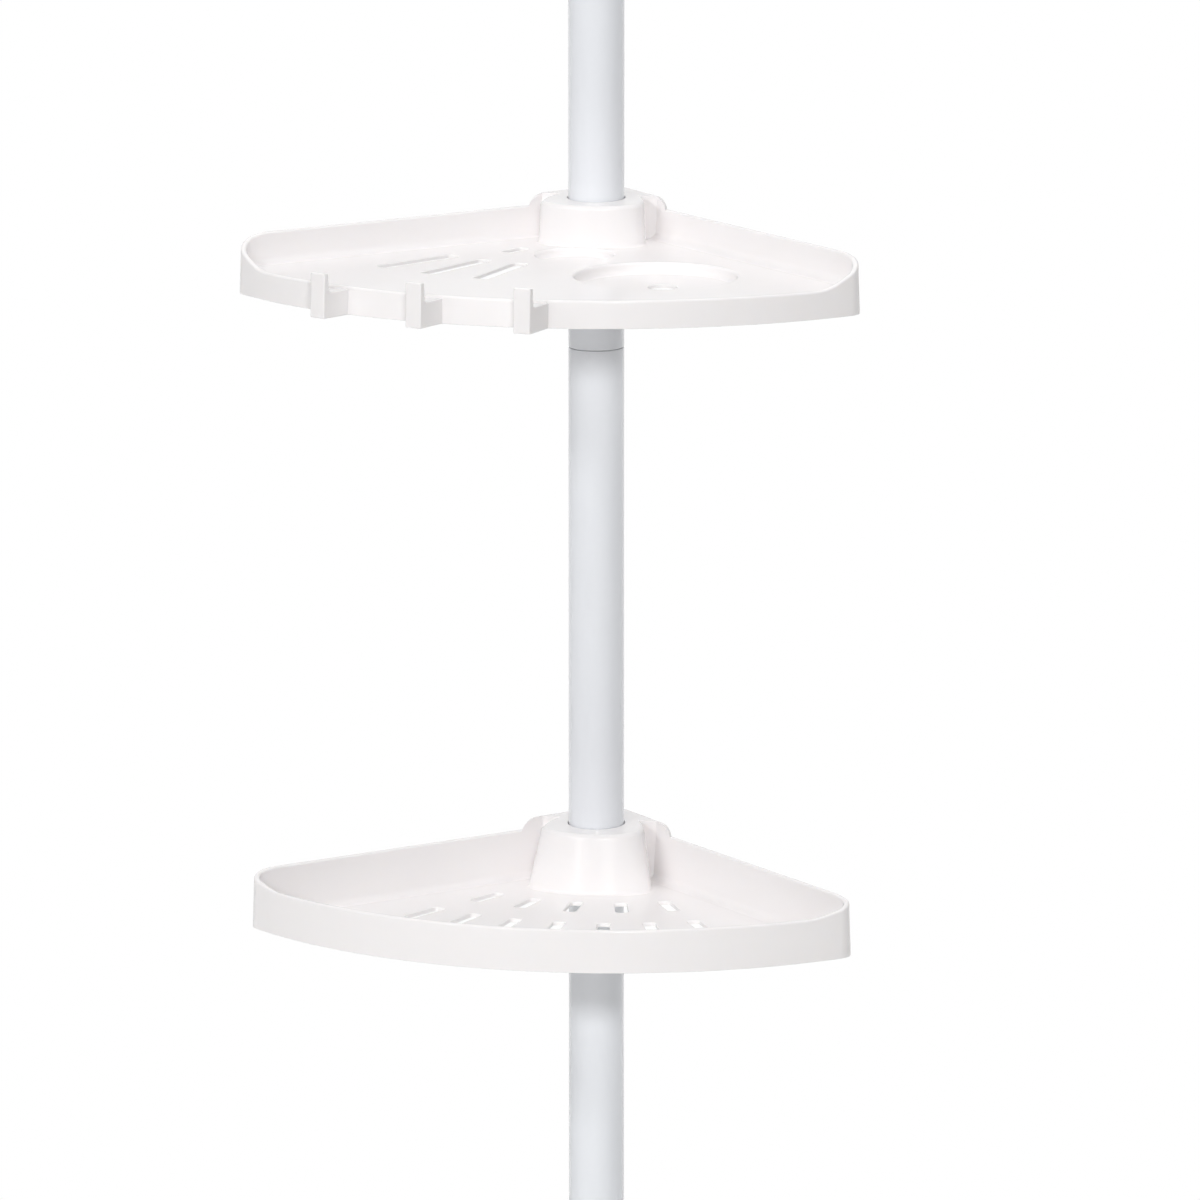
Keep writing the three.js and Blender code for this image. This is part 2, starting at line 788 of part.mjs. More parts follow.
// Hollow of the boss and of the corner behind it, open below, with the tapered socket and its ribs
// left standing in it.
function hubHollow(shape) {
  const ceiling = hubTop - hubCeiling;
  const floorUnder = shape.floorTop - shape.floorThickness;
  const inside = solidOf(lofted([
    bossSection(shape, shape.floorTop, bossWall, () => -cutOverrun),
    bossSection(shape, shape.floorTop, bossWall, () => floorUnder),
    bossSection(shape, ceiling, bossWall, () => ceiling),
  ]));
  const socketSpace = solidOf(turned([
    [0, -cutOverrun],
    [socketBottomRadius, -cutOverrun],
    [socketBottomRadius, socketBottom],
    [socketTopRadius, ceiling],
    [0, ceiling],
  ], tubeSides));
  const inset = wallThickness + draftSlope * hubTop;
  const outline = shelfOutline(shape);
  const level = (height) => outline.map((place) => offsetPoint(place, inset, height));
  const behind = solidOf(box(2 * hubHollowHalfWidth, wallPlaneDistance * 2, -cutOverrun, ceiling)
    .translate(0, wallPlaneDistance, 0));
  const corner = solidOf(lofted([level(-cutOverrun), level(ceiling)])).intersect(behind);
  let kept = solidOf(turned([
    [socketBottomRadius, socketBottom],
    [socketBottomRadius + socketWall, socketBottom],
    [socketTopRadius + socketWall, hubTop],
    [socketTopRadius, hubTop],
  ], tubeSides));
  const ribInner = socketTopRadius + socketWall / 2;
  const ribOuter = wallPlaneDistance * Math.SQRT2;
  for (let i = 0; i < socketRibs; i += 1) {
    const rib = box(ribOuter - ribInner, socketRibThickness, socketBottom, hubTop)
      .translate((ribOuter + ribInner) / 2, 0, 0)
      .rotateZ((i * 2 * Math.PI) / socketRibs);
    kept = kept.add(solidOf(rib));
  }
  return inside.add(corner).subtract(kept).add(socketSpace);
}

// Space in front of a side wall's inner face and of the filled corner, drafted like that face.
function wallFront(shape, side) {
  const near = hubHollowHalfWidth;
  const far = shape.hubHalfWidth + cutOverrun;
  const rimHeight = wallTop - rimRound;
  const level = (height) => {
    const inset = wallThickness + draftSlope * (2 * rimHeight - height);
    const reach = (wallPlaneDistance - inset) * Math.SQRT2;
    const corners = [
      [near, -far],
      [far, -far],
      [far, reach - far],
      [reach - hubBlockFront, hubBlockFront],
      [near, hubBlockFront],
    ];
    const points = corners.map(([x, y]) => new THREE.Vector3(side * x, y, height));
    return side > 0 ? points : points.reverse();
  };
  return solidOf(lofted([level(shape.floorTop), level(hubTop + cutOverrun)]));
}

// Raised corner behind the pole: the shelf's own outline with rounded shoulders, closed behind the boss
// and open in front of the walls.
function hubCorner(shape) {
  const outline = shelfOutline(shape);
  const floorUnder = shape.floorTop - shape.floorThickness;
  const lean = draftSlope * hubTop;
  const bevel = hubEdgeRound * (1 - Math.SQRT1_2);
  const level = (inset, below) => outline.map((place) => {
    const point = offsetPoint(place, inset, hubTop - below);
    point.z -= topFall(point.y);
    return point;
  });
  const block = solidOf(lofted([
    outline.map((place) => offsetPoint(place, draftSlope * floorUnder, floorUnder)),
    level(lean, hubEdgeRound),
    level(lean + bevel, bevel),
    level(lean + hubEdgeRound, 0),
  ]));
  const half = shape.hubHalfWidth;
  const round = hubShoulderRound;
  const front = new THREE.Shape();
  front.moveTo(-half, floorUnder - cutOverrun);
  front.lineTo(half, floorUnder - cutOverrun);
  front.absarc(half - round, hubTop - round, round, 0, Math.PI / 2, false);
  front.absarc(round - half, hubTop - round, round, Math.PI / 2, Math.PI, false);
  const depth = wallPlaneDistance * 2;
  const slab = new THREE.ExtrudeGeometry(front, { depth, bevelEnabled: false, curveSegments: tipSteps })
    .rotateX(Math.PI / 2)
    .translate(0, depth - cutOverrun, 0);
  const corners = slab.attributes.position;
  for (let i = 0; i < corners.count; i += 1) corners.setZ(i, corners.getZ(i) - topFall(corners.getY(i)));
  return block.intersect(solidOf(slab)).subtract(wallFront(shape, 1)).subtract(wallFront(shape, -1));
}

// A slot with rounded corners, pointing outwards along the front's radius at an angle from straight ahead.
function radialSlot(shape, inner, outer, width, degrees) {
  const half = width / 2;
  const round = Math.min(slotCornerRound, half - tubeEdgeRound);
  const slot = new THREE.Shape();
  slot.moveTo(inner + round, -half);
  slot.lineTo(outer - round, -half);
  slot.absarc(outer - round, round - half, round, -Math.PI / 2, 0, false);
  slot.absarc(outer - round, half - round, round, 0, Math.PI / 2, false);
  slot.lineTo(inner + round, half);
  slot.absarc(inner + round, half - round, round, Math.PI / 2, Math.PI, false);
  slot.absarc(inner + round, round - half, round, Math.PI, Math.PI * 1.5, false);
  const depth = shape.floorThickness + 2 * cutOverrun;
  const geometry = new THREE.ExtrudeGeometry(slot, { depth, bevelEnabled: false, curveSegments: 2 })
    .rotateZ(THREE.MathUtils.degToRad(degrees) - Math.PI / 2)
    .translate(0, shape.frontY + shape.frontRadius, shape.floorTop - shape.floorThickness - cutOverrun);
  return solidOf(geometry);
}

function withSlotRow(tray, shape, row) {
  let result = tray;
  for (let i = 0; i < row.count; i += 1) {
    const degrees = (i - (row.count - 1) / 2) * row.pitchDegrees;
    const inner = row.radius - row.length / 2;
    result = result.subtract(radialSlot(shape, inner, inner + row.length, lowerSlotWidth, degrees));
  }
  return result;
}

// Round recess: a cup pressed down from the floor, with a rounded rim and a rounded bottom edge.
function recessCup(shape, x, y, radius, depth) {
  const bottom = shape.floorTop - depth - recessWall;
  return solidOf(rod(radius + recessWall, bottom, shape.floorTop - shape.floorThickness / 2, tubeSides)
    .translate(x, y, 0));
}

function recessHollow(shape, x, y, radius, depth, floorRound) {
  const bevelShare = 1 - Math.SQRT1_2;
  const floor = shape.floorTop - depth;
  return solidOf(turned([
    [0, floor],
    [radius - floorRound, floor],
    [radius - floorRound * bevelShare, floor + floorRound * bevelShare],
    [radius, floor + floorRound],
    [radius, shape.floorTop - recessRimRound],
    [radius + recessRimRound * bevelShare, shape.floorTop - recessRimRound * bevelShare],
    [radius + recessRimRound, shape.floorTop],
    [radius + recessRimRound, shape.floorTop + cutOverrun],
    [0, shape.floorTop + cutOverrun],
  ], tubeSides).translate(x, y, 0));
}

// Hook on the apron: a straight web level with the floor and a raised tab at its end. The tip is set out on
// the front's own arc, and the web runs back from it into the apron at an angle of its own.
function hook(shape, tipDegrees, webDegrees) {
  const back = -hookReach - hookSeat;
  const side = new THREE.Shape();
  side.moveTo(back, 0);
  side.lineTo(0, 0);
  side.lineTo(-hookTabDraft, hookTabTop);
  side.lineTo(-hookTabThickness, hookTabTop);
  side.lineTo(-hookTabThickness - hookTabDraft, shape.lipTop - rimRound);
  side.lineTo(back, shape.lipTop - rimRound);
  const tipAngle = THREE.MathUtils.degToRad(tipDegrees - 90);
  const tip = shape.frontRadius + hookReach;
  return solidOf(new THREE.ExtrudeGeometry(side, { depth: hookWidth, bevelEnabled: false })
    .translate(0, 0, -hookWidth / 2)
    .rotateX(Math.PI / 2)
    .rotateZ(THREE.MathUtils.degToRad(webDegrees - 90))
    .translate(tip * Math.cos(tipAngle), shape.frontY + shape.frontRadius + tip * Math.sin(tipAngle), 0));
}

function hubbedTray(shape) {
  const poleHole = solidOf(rod(holeRadius, -cutOverrun, hubTop + cutOverrun, tubeSides));
  return solidOf(trayShell(shape))
    .add(solidOf(bossOuter(shape)))
    .add(hubCorner(shape))
    .subtract(hubHollow(shape))
    .subtract(poleHole);
}

function upperShelf() {
  let shelf = hubbedTray(upperShape)
    .add(recessCup(upperShape, tumblerX, tumblerY, tumblerRadius, tumblerDepth))
    .add(recessCup(upperShape, soapX, soapY, soapRadius, soapDepth).subtract(hubHollow(upperShape)))
    .subtract(recessHollow(upperShape, tumblerX, tumblerY, tumblerRadius, tumblerDepth, tumblerFloorRound));
  const soap = recessHollow(upperShape, soapX, soapY, soapRadius, soapDepth, soapFloorRound);
  shelf = shelf.subtract(soap.subtract(solidOf(bossOuter(upperShape))));
  shelf = shelf.subtract(solidOf(rod(drainDiameter / 2, -cutOverrun, upperShape.floorTop, roundSides)
    .translate(tumblerX + drainOffsetX, tumblerY, 0)));
  for (let i = 0; i < upperSlotCount; i += 1) {
    const degrees = upperSlotFirstDegrees + i * upperSlotPitchDegrees;
    shelf = shelf.subtract(radialSlot(upperShape, upperSlotInner, upperSlotOuter, upperSlotWidth, degrees));
  }
  shelf = shelf.subtract(radialSlot(upperShape, shortSlotInner, shortSlotOuter, shortSlotWidth, shortSlotDegrees));
  for (let i = 0; i < hookCount; i += 1) {
    const tipDegrees = hookFirstDegrees + i * hookPitchDegrees;
    shelf = shelf.add(hook(upperShape, tipDegrees, hookWebFirstDegrees + i * hookWebPitchDegrees));
  }
  return geometryOf(shelf.translate([0, 0, upperShelfHeight]));
}

function lowerShelf() {
  let shelf = hubbedTray(lowerShape);
  shelf = withSlotRow(shelf, lowerShape, lowerBackRow);
  shelf = withSlotRow(shelf, lowerShape, lowerFrontRow);
  return geometryOf(shelf.translate([0, 0, lowerShelfHeight]));
}

// One half of the split tapered clip that wedges between the pole and the shelf's socket.
function clipHalf(shelfHeight, side) {
  const taper = (socketBottomRadius - socketTopRadius) / (hubTop - socketBottom);
  const outerAt = (height) => socketBottomRadius - taper * (height - socketBottom) - touchGap;
  const whole = solidOf(turned([
    [poleRadius + touchGap, clipBottom],
    [outerAt(clipBottom), clipBottom],
    [outerAt(clipTop), clipTop],
    [poleRadius + touchGap, clipTop],
  ], tubeSides));
  const reach = socketBottomRadius + cutOverrun;
  const half = solidOf(box(reach, 2 * reach, clipBottom - cutOverrun, clipTop + cutOverrun)
    .translate(side * (reach / 2 + clipSplit / 2), 0, 0));
  return geometryOf(whole.intersect(half).translate([0, 0, shelfHeight]));
}

// Assembly

const assembly = new THREE.Group();

function addPiece(name, geometry, material) {
  const mesh = new THREE.Mesh(geometry, material);
  mesh.name = name;
  assembly.add(mesh);
  return mesh;
}

addPiece('floor_foot', withoutSlivers(rubberFoot()), greyRubber);
addPiece('foot_plug', withoutSlivers(footPlug(poleRadius, poleBore)), innerPlastic);
addPiece('lower_tube', poleSection(lowerSectionBottom, lowerSeam, true), paintedSteel);
addPiece('middle_tube', poleSection(lowerSeam + touchGap, upperSeam, true), paintedSteel);
addPiece('upper_tube', poleSection(upperSeam + touchGap, poleTop, false), paintedSteel);
addPiece('tube_collar', tubeCollar(), whitePlastic);

addPiece('lock_sleeve', lockSleeve(), innerPlastic);
addPiece('lock_cone', lockCone(), innerPlastic);
addPiece('lock_spindle', withoutSlivers(lockSpindle()), innerPlastic);
addPiece('spindle_stop', spindleStop(), innerPlastic);
addPiece('extension_tube', extensionTube(), paintedSteel);
addPiece('spring_seat', springSeat(), innerPlastic);
addPiece('seat_pin', withoutSlivers(seatPin()), zincSteel);
addPiece('tension_spring', springWireTube(), zincSteel);
addPiece('top_bush', topBush(), whitePlastic);

addPiece('plunger_piston', withoutSlivers(plungerPiston()), innerPlastic);
addPiece('plunger_stem', ring(stemBore, stemRadius, pistonTop + touchGap, stemTop, tubeSides), paintedSteel);
const padPlug = addPiece('pad_plug', withoutSlivers(footPlug(stemRadius, stemBore)), innerPlastic);
const ceilingPad = addPiece('ceiling_pad', withoutSlivers(rubberFoot()), greyRubber);
for (const mesh of [padPlug, ceilingPad]) {
  mesh.rotation.x = Math.PI;
  mesh.position.z = overallHeight;
}

addPiece('upper_shelf', upperShelf(), whitePlastic);
addPiece('upper_clip_left', clipHalf(upperShelfHeight, -1), innerPlastic);
addPiece('upper_clip_right', clipHalf(upperShelfHeight, 1), innerPlastic);
addPiece('lower_shelf', lowerShelf(), whitePlastic);
addPiece('lower_clip_left', clipHalf(lowerShelfHeight, -1), innerPlastic);
addPiece('lower_clip_right', clipHalf(lowerShelfHeight, 1), innerPlastic);

console.log(`least gap of the spring to itself: ${leastSpringGap().toFixed(2)} mm`);
console.log(`overall height: ${overallHeight.toFixed(1)} mm`);

export default assembly;
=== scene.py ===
"""Looks for the corner shelf unit on its sprung tension pole.

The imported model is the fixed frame. Smooth moulded trays, enamelled tubes and turned fittings stand in
the places of its nodes, the hidden nodes keep their shapes and get finishes, and a plain studio lights it.
All sizes in the classes are millimetres; the meshes are made in metres.
"""

from __future__ import annotations

import json
import logging
import math
from collections.abc import Callable, Sequence
from dataclasses import dataclass, field
from enum import Enum

import bpy
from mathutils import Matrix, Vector


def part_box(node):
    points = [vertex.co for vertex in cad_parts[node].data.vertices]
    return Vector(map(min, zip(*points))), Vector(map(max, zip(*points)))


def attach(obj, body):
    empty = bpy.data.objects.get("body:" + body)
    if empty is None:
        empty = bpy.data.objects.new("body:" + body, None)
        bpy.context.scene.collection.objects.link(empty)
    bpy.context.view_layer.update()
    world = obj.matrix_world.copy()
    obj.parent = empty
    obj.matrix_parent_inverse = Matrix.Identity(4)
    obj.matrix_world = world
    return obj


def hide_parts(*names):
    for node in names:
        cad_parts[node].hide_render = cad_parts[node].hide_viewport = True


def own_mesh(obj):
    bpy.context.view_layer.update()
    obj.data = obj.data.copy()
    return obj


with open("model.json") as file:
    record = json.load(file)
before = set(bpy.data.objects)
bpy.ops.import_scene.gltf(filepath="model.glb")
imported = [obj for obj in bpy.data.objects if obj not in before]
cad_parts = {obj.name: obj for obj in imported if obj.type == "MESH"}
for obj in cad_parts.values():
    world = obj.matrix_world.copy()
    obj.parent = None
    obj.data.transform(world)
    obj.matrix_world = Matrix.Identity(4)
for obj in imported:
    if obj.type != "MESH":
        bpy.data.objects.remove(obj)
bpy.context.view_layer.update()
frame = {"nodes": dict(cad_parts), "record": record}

LOG = logging.getLogger("shelf_unit")
MM = 0.001
# Millimetres: less than any size of the object.
HAIR = 0.01
# Metres: how far in front of the pole's axis the lamps aim.
SHELVES_Y = -0.06

Pair = tuple[float, float]
Section = list[Pair]


# Colour and shader helpers


def linear(hex_colour: str) -> tuple[float, float, float, float]:
    """Turn an sRGB hex colour into linear light.

    Args:
        hex_colour: Six hex digits after a hash sign.

    Returns:
        Red, green, blue and an alpha of one, as the shader sockets take them.
    """
    levels = [int(hex_colour[i : i + 2], 16) / 255 for i in (1, 3, 5)]
    light = [c / 12.92 if c <= 0.04045 else ((c + 0.055) / 1.055) ** 2.4 for c in levels]
    return (*light, 1.0)


def add_node(
    tree: bpy.types.NodeTree,
    kind: str,
    values: dict[str | int, object] | None = None,
    links: dict[str | int, bpy.types.NodeSocket] | None = None,
    **settings: object,
) -> bpy.types.Node:
    """Add a node with its settings, socket values and incoming links.

    Args:
        tree: The node tree that gets the node.
        kind: Blender's identifier of the node type.
        values: Constant values by input name or number.
        links: Output sockets to link in, by input name or number.
        **settings: Attributes of the node itself.

    Returns:
        The new node.
    """
    node = tree.nodes.new(kind)
    for key, value in settings.items():
        setattr(node, key, value)
    for key, value in (values or {}).items():
        node.inputs[key].default_value = value
    for key, socket in (links or {}).items():
        tree.links.new(socket, node.inputs[key])
    return node


def empty_tree(owner: bpy.types.Material | bpy.types.World) -> bpy.types.NodeTree:
    """Empty the node tree of a material or of the world.

    Args:
        owner: The material or world.

    Returns:
        Its node tree, with nothing in it.
    """
    owner.use_nodes = True
    owner.node_tree.nodes.clear()
    return owner.node_tree


def pattern_scale(size_mm: float) -> float:
    """Give the texture scale at which one feature of a pattern is size_mm across."""
    return 1 / (size_mm * MM)


@dataclass(frozen=True)
class SurfaceRecipe:
    """What the eye meets on one finish, from which its material is made.

    Attributes:
        name: The material's name.
        colour: Main colour.
        tint: Colour it drifts to in broad, soft patches.
        roughness: Roughness of the clean surface.
        ior: Index of refraction.
        metallic: One for bare metal.
        patch_mm: Size of the soft colour patches.
        wave_mm: Distance between the low waves of the surface.
        wave_depth_mm: Depth of those waves.
        grain_mm: Size of the fine grain; drawn coarser than life where it is too fine to show.
        grain_depth_mm: Depth of the fine grain.
        glow: Share of light that scatters under the surface.
        glow_mm: How far that light travels.
        glow_reach: Red, green and blue as shares of that distance.
        coat: Weight of a clear, smooth top layer.
        coat_roughness: Roughness of that layer.
    """

    name: str
    colour: str
    tint: str
    roughness: float
    ior: float = 1.5
    metallic: float = 0.0
    patch_mm: float = 60.0
    wave_mm: float = 25.0
    wave_depth_mm: float = 0.02
    grain_mm: float = 0.8
    grain_depth_mm: float = 0.004
    glow: float = 0.0
    glow_mm: float = 1.0
    glow_reach: tuple[float, float, float] = (1.0, 0.9, 0.8)
    coat: float = 0.0
    coat_roughness: float = 0.12

    def build(self) -> bpy.types.Material:
        """Make the material.

        Returns:
            The material, with its noise in the piece's own coordinates.
        """
        material = bpy.data.materials.new(self.name)
        tree = empty_tree(material)
        place = add_node(tree, "ShaderNodeTexCoord").outputs["Object"]
        noises = {}
        for pattern, size_mm, detail, roughness in (
            ("patches", self.patch_mm, 3.0, 0.55),
            ("waves", self.wave_mm, 1.0, 0.5),
            ("grain", self.grain_mm, 4.0, 0.6),
        ):
            values = {"Scale": pattern_scale(size_mm), "Detail": detail, "Roughness": roughness}
            noise = add_node(tree, "ShaderNodeTexNoise", values, {"Vector": place})
            noises[pattern] = noise.outputs["Fac"]
        tone = add_node(
            tree, "ShaderNodeMix", {"A": linear(self.colour), "B": linear(self.tint)},
            {"Factor": noises["patches"]}, data_type="RGBA",
        )
        relief: dict[str | int, bpy.types.NodeSocket] = {}
        for pattern, depth_mm in (("waves", self.wave_depth_mm), ("grain", self.grain_depth_mm)):
            values = {"Distance": depth_mm * MM, "Strength": 1.0}
            bump = add_node(tree, "ShaderNodeBump", values, {"Height": noises[pattern], **relief})
            relief = {"Normal": bump.outputs["Normal"]}
        shader = add_node(
            tree,
            "ShaderNodeBsdfPrincipled",
            {
                "IOR": self.ior,
                "Roughness": self.roughness,
                "Metallic": self.metallic,
                "Subsurface Weight": self.glow,
                "Subsurface Radius": self.glow_reach,
                "Subsurface Scale": self.glow_mm * MM,
                "Coat Weight": self.coat,
                "Coat Roughness": self.coat_roughness,
            },
            {"Base Color": tone.outputs["Result"], **relief},
        )
        add_node(tree, "ShaderNodeOutputMaterial", links={"Surface": shader.outputs["BSDF"]})
        return material


class Finish(Enum):
    """The finishes of the object, named for what each one is."""

    # Polypropylene from a polished mould: milky, glossy, with the faint waves of shrinkage.
    MOULDED_POLYPROPYLENE = SurfaceRecipe(
        "moulded_polypropylene", "#FAF7F7", "#F7F4F4", 0.22,
        ior=1.49, patch_mm=90, wave_mm=22, wave_depth_mm=0.05, grain_mm=1.6, grain_depth_mm=0.003,
        glow=0.12, glow_mm=2.5,
    )
    # Stove enamel on drawn steel tube: cool white, hard and glossy, with orange peel from spraying.
    STOVE_ENAMEL = SurfaceRecipe(
        "stove_enamel_on_steel", "#F3F5F9", "#EFF2F7", 0.2,
        ior=1.52, patch_mm=140, wave_mm=9, wave_depth_mm=0.012, grain_mm=1.8, grain_depth_mm=0.004,
        coat=0.35,
    )
    # Moulded thermoplastic rubber: matt, pale grey, with a dusty bloom.
    MOULDED_RUBBER = SurfaceRecipe(
        "moulded_rubber", "#B9B9B6", "#ADADA8", 0.76,
        ior=1.45, patch_mm=18, wave_mm=8, wave_depth_mm=0.05, grain_mm=0.7, grain_depth_mm=0.03,
    )
    # Acetal as it comes from a spark-eroded mould: satin off-white, slightly waxy.
    MOULDED_ACETAL = SurfaceRecipe(
        "moulded_acetal", "#E4E4E0", "#DEDED8", 0.42,
        ior=1.48, patch_mm=25, wave_mm=10, wave_depth_mm=0.02, grain_mm=0.6, grain_depth_mm=0.012,
        glow=0.08, glow_mm=1.5,
    )
    # Zinc plate on spring steel wire and pin: bluish grey metal with a slight cloud.
    ZINC_PLATED_STEEL = SurfaceRecipe(
        "zinc_plated_steel", "#A9ACB1", "#9A9EA6", 0.36,
        metallic=1.0, patch_mm=6, wave_mm=4, wave_depth_mm=0.01, grain_mm=0.5, grain_depth_mm=0.01,
    )

    @property
    def material(self) -> bpy.types.Material:
        """The finish's material, made the first time it is asked for."""
        return bpy.data.materials.get(self.value.name) or self.value.build()


SLOT_FINISHES = {
    "white_plastic": Finish.MOULDED_POLYPROPYLENE,
    "painted_tube": Finish.STOVE_ENAMEL,
    "rubber": Finish.MOULDED_RUBBER,
    "inner_plastic": Finish.MOULDED_ACETAL,
    "zinc_steel": Finish.ZINC_PLATED_STEEL,
}


# Shape helpers


@dataclass
class Shell:
    """A closed skin of points and faces, in millimetres."""

    points: list[tuple[float, float, float]]
    faces: list[tuple[int, ...]]

    def moved(self, x: float = 0.0, y: float = 0.0, z: float = 0.0) -> Shell:
        """Shift the skin by x, y and z."""
        return Shell([(px + x, py + y, pz + z) for px, py, pz in self.points], self.faces)

    def turned(self, degrees: float) -> Shell:
        """Turn the skin about the pole's axis."""
        c, s = math.cos(math.radians(degrees)), math.sin(math.radians(degrees))
        return Shell([(c * x - s * y, s * x + c * y, z) for x, y, z in self.points], self.faces)

    def flipped(self, total: float) -> Shell:
        """Stand the skin on its head inside a height of total, keeping its faces outwards."""
        return Shell([(x, -y, total - z) for x, y, z in self.points], self.faces)

    def make(self, name: str) -> bpy.types.Object:
        """Make a mesh object of the skin in metres.

        Args:
            name: The object's name.

        Returns:
            The object, linked to the scene.
        """
        mesh = bpy.data.meshes.new(name)
        mesh.from_pydata([tuple(c * MM for c in p) for p in self.points], [], self.faces)
        mesh.validate()
        thing = bpy.data.objects.new(name, mesh)
        bpy.context.collection.objects.link(thing)
        return thing


def smooth_share(value: float) -> float:
    """Ease a value from 0 to 1, flat at both ends."""
    share = min(max(value, 0.0), 1.0)
    return share * share * (3 - 2 * share)


def arc(x: float, y: float, radius: float, start: float, end: float, steps: int) -> Section:
    """Give points on an arc, both ends included.

    Args:
        x: Centre, first coordinate.
        y: Centre, second coordinate.
        radius: Radius of the arc.
        start: First angle in degrees.
        end: Last angle in degrees.
        steps: Number of steps between them.

    Returns:
        The points, in order.
    """
    angles = [math.radians(start + (end - start) * i / steps) for i in range(steps + 1)]
    return [(x + radius * math.cos(a), y + radius * math.sin(a)) for a in angles]


def loft(rings: Sequence[Sequence[tuple[float, float, float]]], capped: bool = True) -> Shell:
    """Join rings of equal length by a skin.

    Args:
        rings: The rings, each anticlockwise seen against the way they run.
        capped: Close the first and the last ring, or else join them to each other.

    Returns:
        The closed skin.
    """
    count = len(rings[0])
    points = [p for ring in rings for p in ring]
    levels = len(rings)
    faces: list[tuple[int, ...]] = []
    for level in range(levels - 1 if capped else levels):
        low, high = level * count, (level + 1) % levels * count
        for i in range(count):
            j = (i + 1) % count
            faces.append((low + i, low + j, high + j, high + i))
    if capped:
        faces.append(tuple(reversed(range(count))))
        faces.append(tuple(range((levels - 1) * count, levels * count)))
    return Shell(points, faces)


def lathe(
    profile: Section,
    sides: int,
    swell: Callable[[float, float, float], float] | None = None,
) -> Shell:
    """Turn a closed profile about the pole's axis.

    Args:
        profile: Pairs of radius and height, anticlockwise with the height up. It ends on the axis, or
            closes on itself where it doesn't reach the axis.
        sides: Number of steps round.
        swell: Gives what is added to the radius at an angle, radius and height.

    Returns:
        The closed skin.
    """
    on_axis = profile[0][0] == 0 and profile[-1][0] == 0
    body = profile[1:-1] if on_axis else profile
    if on_axis and profile[0][1] != body[0][1]:
        raise ValueError("a profile starts level with its second point")
    rings = []
    for radius, height in body:
        ring = []
        for i in range(sides):
            angle = 2 * math.pi * i / sides
            reach = radius + (swell(angle, radius, height) if swell else 0.0)
            ring.append((reach * math.cos(angle), reach * math.sin(angle), height))
        rings.append(ring)
    return loft(rings, capped=on_axis)


def prism(outline: Section, bottom: float, top: float) -> Shell:
    """Stand an anticlockwise outline up between two heights."""
    return loft([[(x, y, z) for x, y in outline] for z in (bottom, top)])


def block(size_x: float, size_y: float, bottom: float, top: float) -> Shell:
    """Make an upright block, centred on the axis."""
    x, y = size_x / 2, size_y / 2
    return prism([(-x, -y), (x, -y), (x, y), (-x, y)], bottom, top)


class Join(Enum):
    """How a shape meets the one it is joined to."""

    ADD = "UNION"
    CUT = "DIFFERENCE"
    KEEP_COMMON = "INTERSECT"


@dataclass
class Carving:
    """A solid that other solids are added to and cut from, one after another."""

    name: str
    blank: Shell
    steps: list[tuple[Join, Carving | Shell]] = field(default_factory=list)
    edge_round: float = 0.0

    def add(self, *others: Carving | Shell) -> Carving:
        """Add solids."""
        self.steps += [(Join.ADD, other) for other in others]
        return self

    def cut(self, *others: Carving | Shell) -> Carving:
        """Cut solids away."""
        self.steps += [(Join.CUT, other) for other in others]
        return self

    def common(self, other: Carving | Shell) -> Carving:
        """Keep only what lies in the other solid too."""
        self.steps.append((Join.KEEP_COMMON, other))
        return self

    def make(self) -> bpy.types.Object:
        """Carve the solid.

        Returns:
            A mesh object with the result and no modifiers.
        """
        thing = self.blank.make(self.name)
        tools = []
        for number, (join, other) in enumerate(self.steps):
            tool = other.make() if isinstance(other, Carving) else other.make(f"{self.name}_tool")
            tools.append(tool)
            modifier = thing.modifiers.new(f"join_{number}", "BOOLEAN")
            modifier.operation = join.value
            modifier.solver = "MANIFOLD"
            modifier.object = tool
        if self.edge_round:
            bevel = thing.modifiers.new("edge", "BEVEL")
            bevel.width = self.edge_round * MM
            bevel.segments = 3
            bevel.limit_method = "ANGLE"
            bevel.angle_limit = math.radians(35)
            bevel.harden_normals = False
        bake_modifiers(thing)
        for tool in tools:
            mesh = tool.data
            bpy.data.objects.remove(tool)
            bpy.data.meshes.remove(mesh)
        return thing


def bake_modifiers(thing: bpy.types.Object) -> None:
    """Put a piece's modifiers into its mesh and remove them.

    Args:
        thing: The piece.
    """
    bpy.context.view_layer.update()
    graph = bpy.context.evaluated_depsgraph_get()
    mesh = bpy.data.meshes.new_from_object(thing.evaluated_get(graph))
    old = thing.data
    thing.modifiers.clear()
    thing.data = mesh
    name = old.name
    bpy.data.meshes.remove(old)
    mesh.name = name


def soften(thing: bpy.types.Object, sharp_degrees: float = 32.0) -> None:
    """Shade a piece smooth, but for its sharp edges, and let its flat faces keep flat shading.

    Args:
        thing: The piece.
        sharp_degrees: The angle between two faces from which their edge is sharp.
    """
    thing.data.shade_smooth()
    thing.data.set_sharp_from_angle(angle=math.radians(sharp_degrees))
    weighted = thing.modifiers.new("shading", "WEIGHTED_NORMAL")
    weighted.keep_sharp = True
    bake_modifiers(thing)


def dress(thing: bpy.types.Object, node: str, slot: str) -> None:
    """Let a piece stand for a CAD node, on the node's body and in the slot's finish.

    Args:
        thing: The piece.
        node: The CAD node it replaces.
        slot: The record's material slot.
    """
    thing.data.materials.clear()
    thing.data.materials.append(SLOT_FINISHES[slot].material)
    bodies = frame["record"]["behaviour"]["bodies"]
    body = next(name for name, nodes in bodies.items() if node in nodes)
    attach(thing, body)
    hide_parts(node)
    LOG.info("%s: %d points, on %s", thing.name, len(thing.data.vertices), body)


def height_of(node: str, top: bool = False) -> float:
    """Give the height in millimetres of a CAD node's underside or top."""
    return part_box(node)[1 if top else 0][2] / MM


# Corner trays


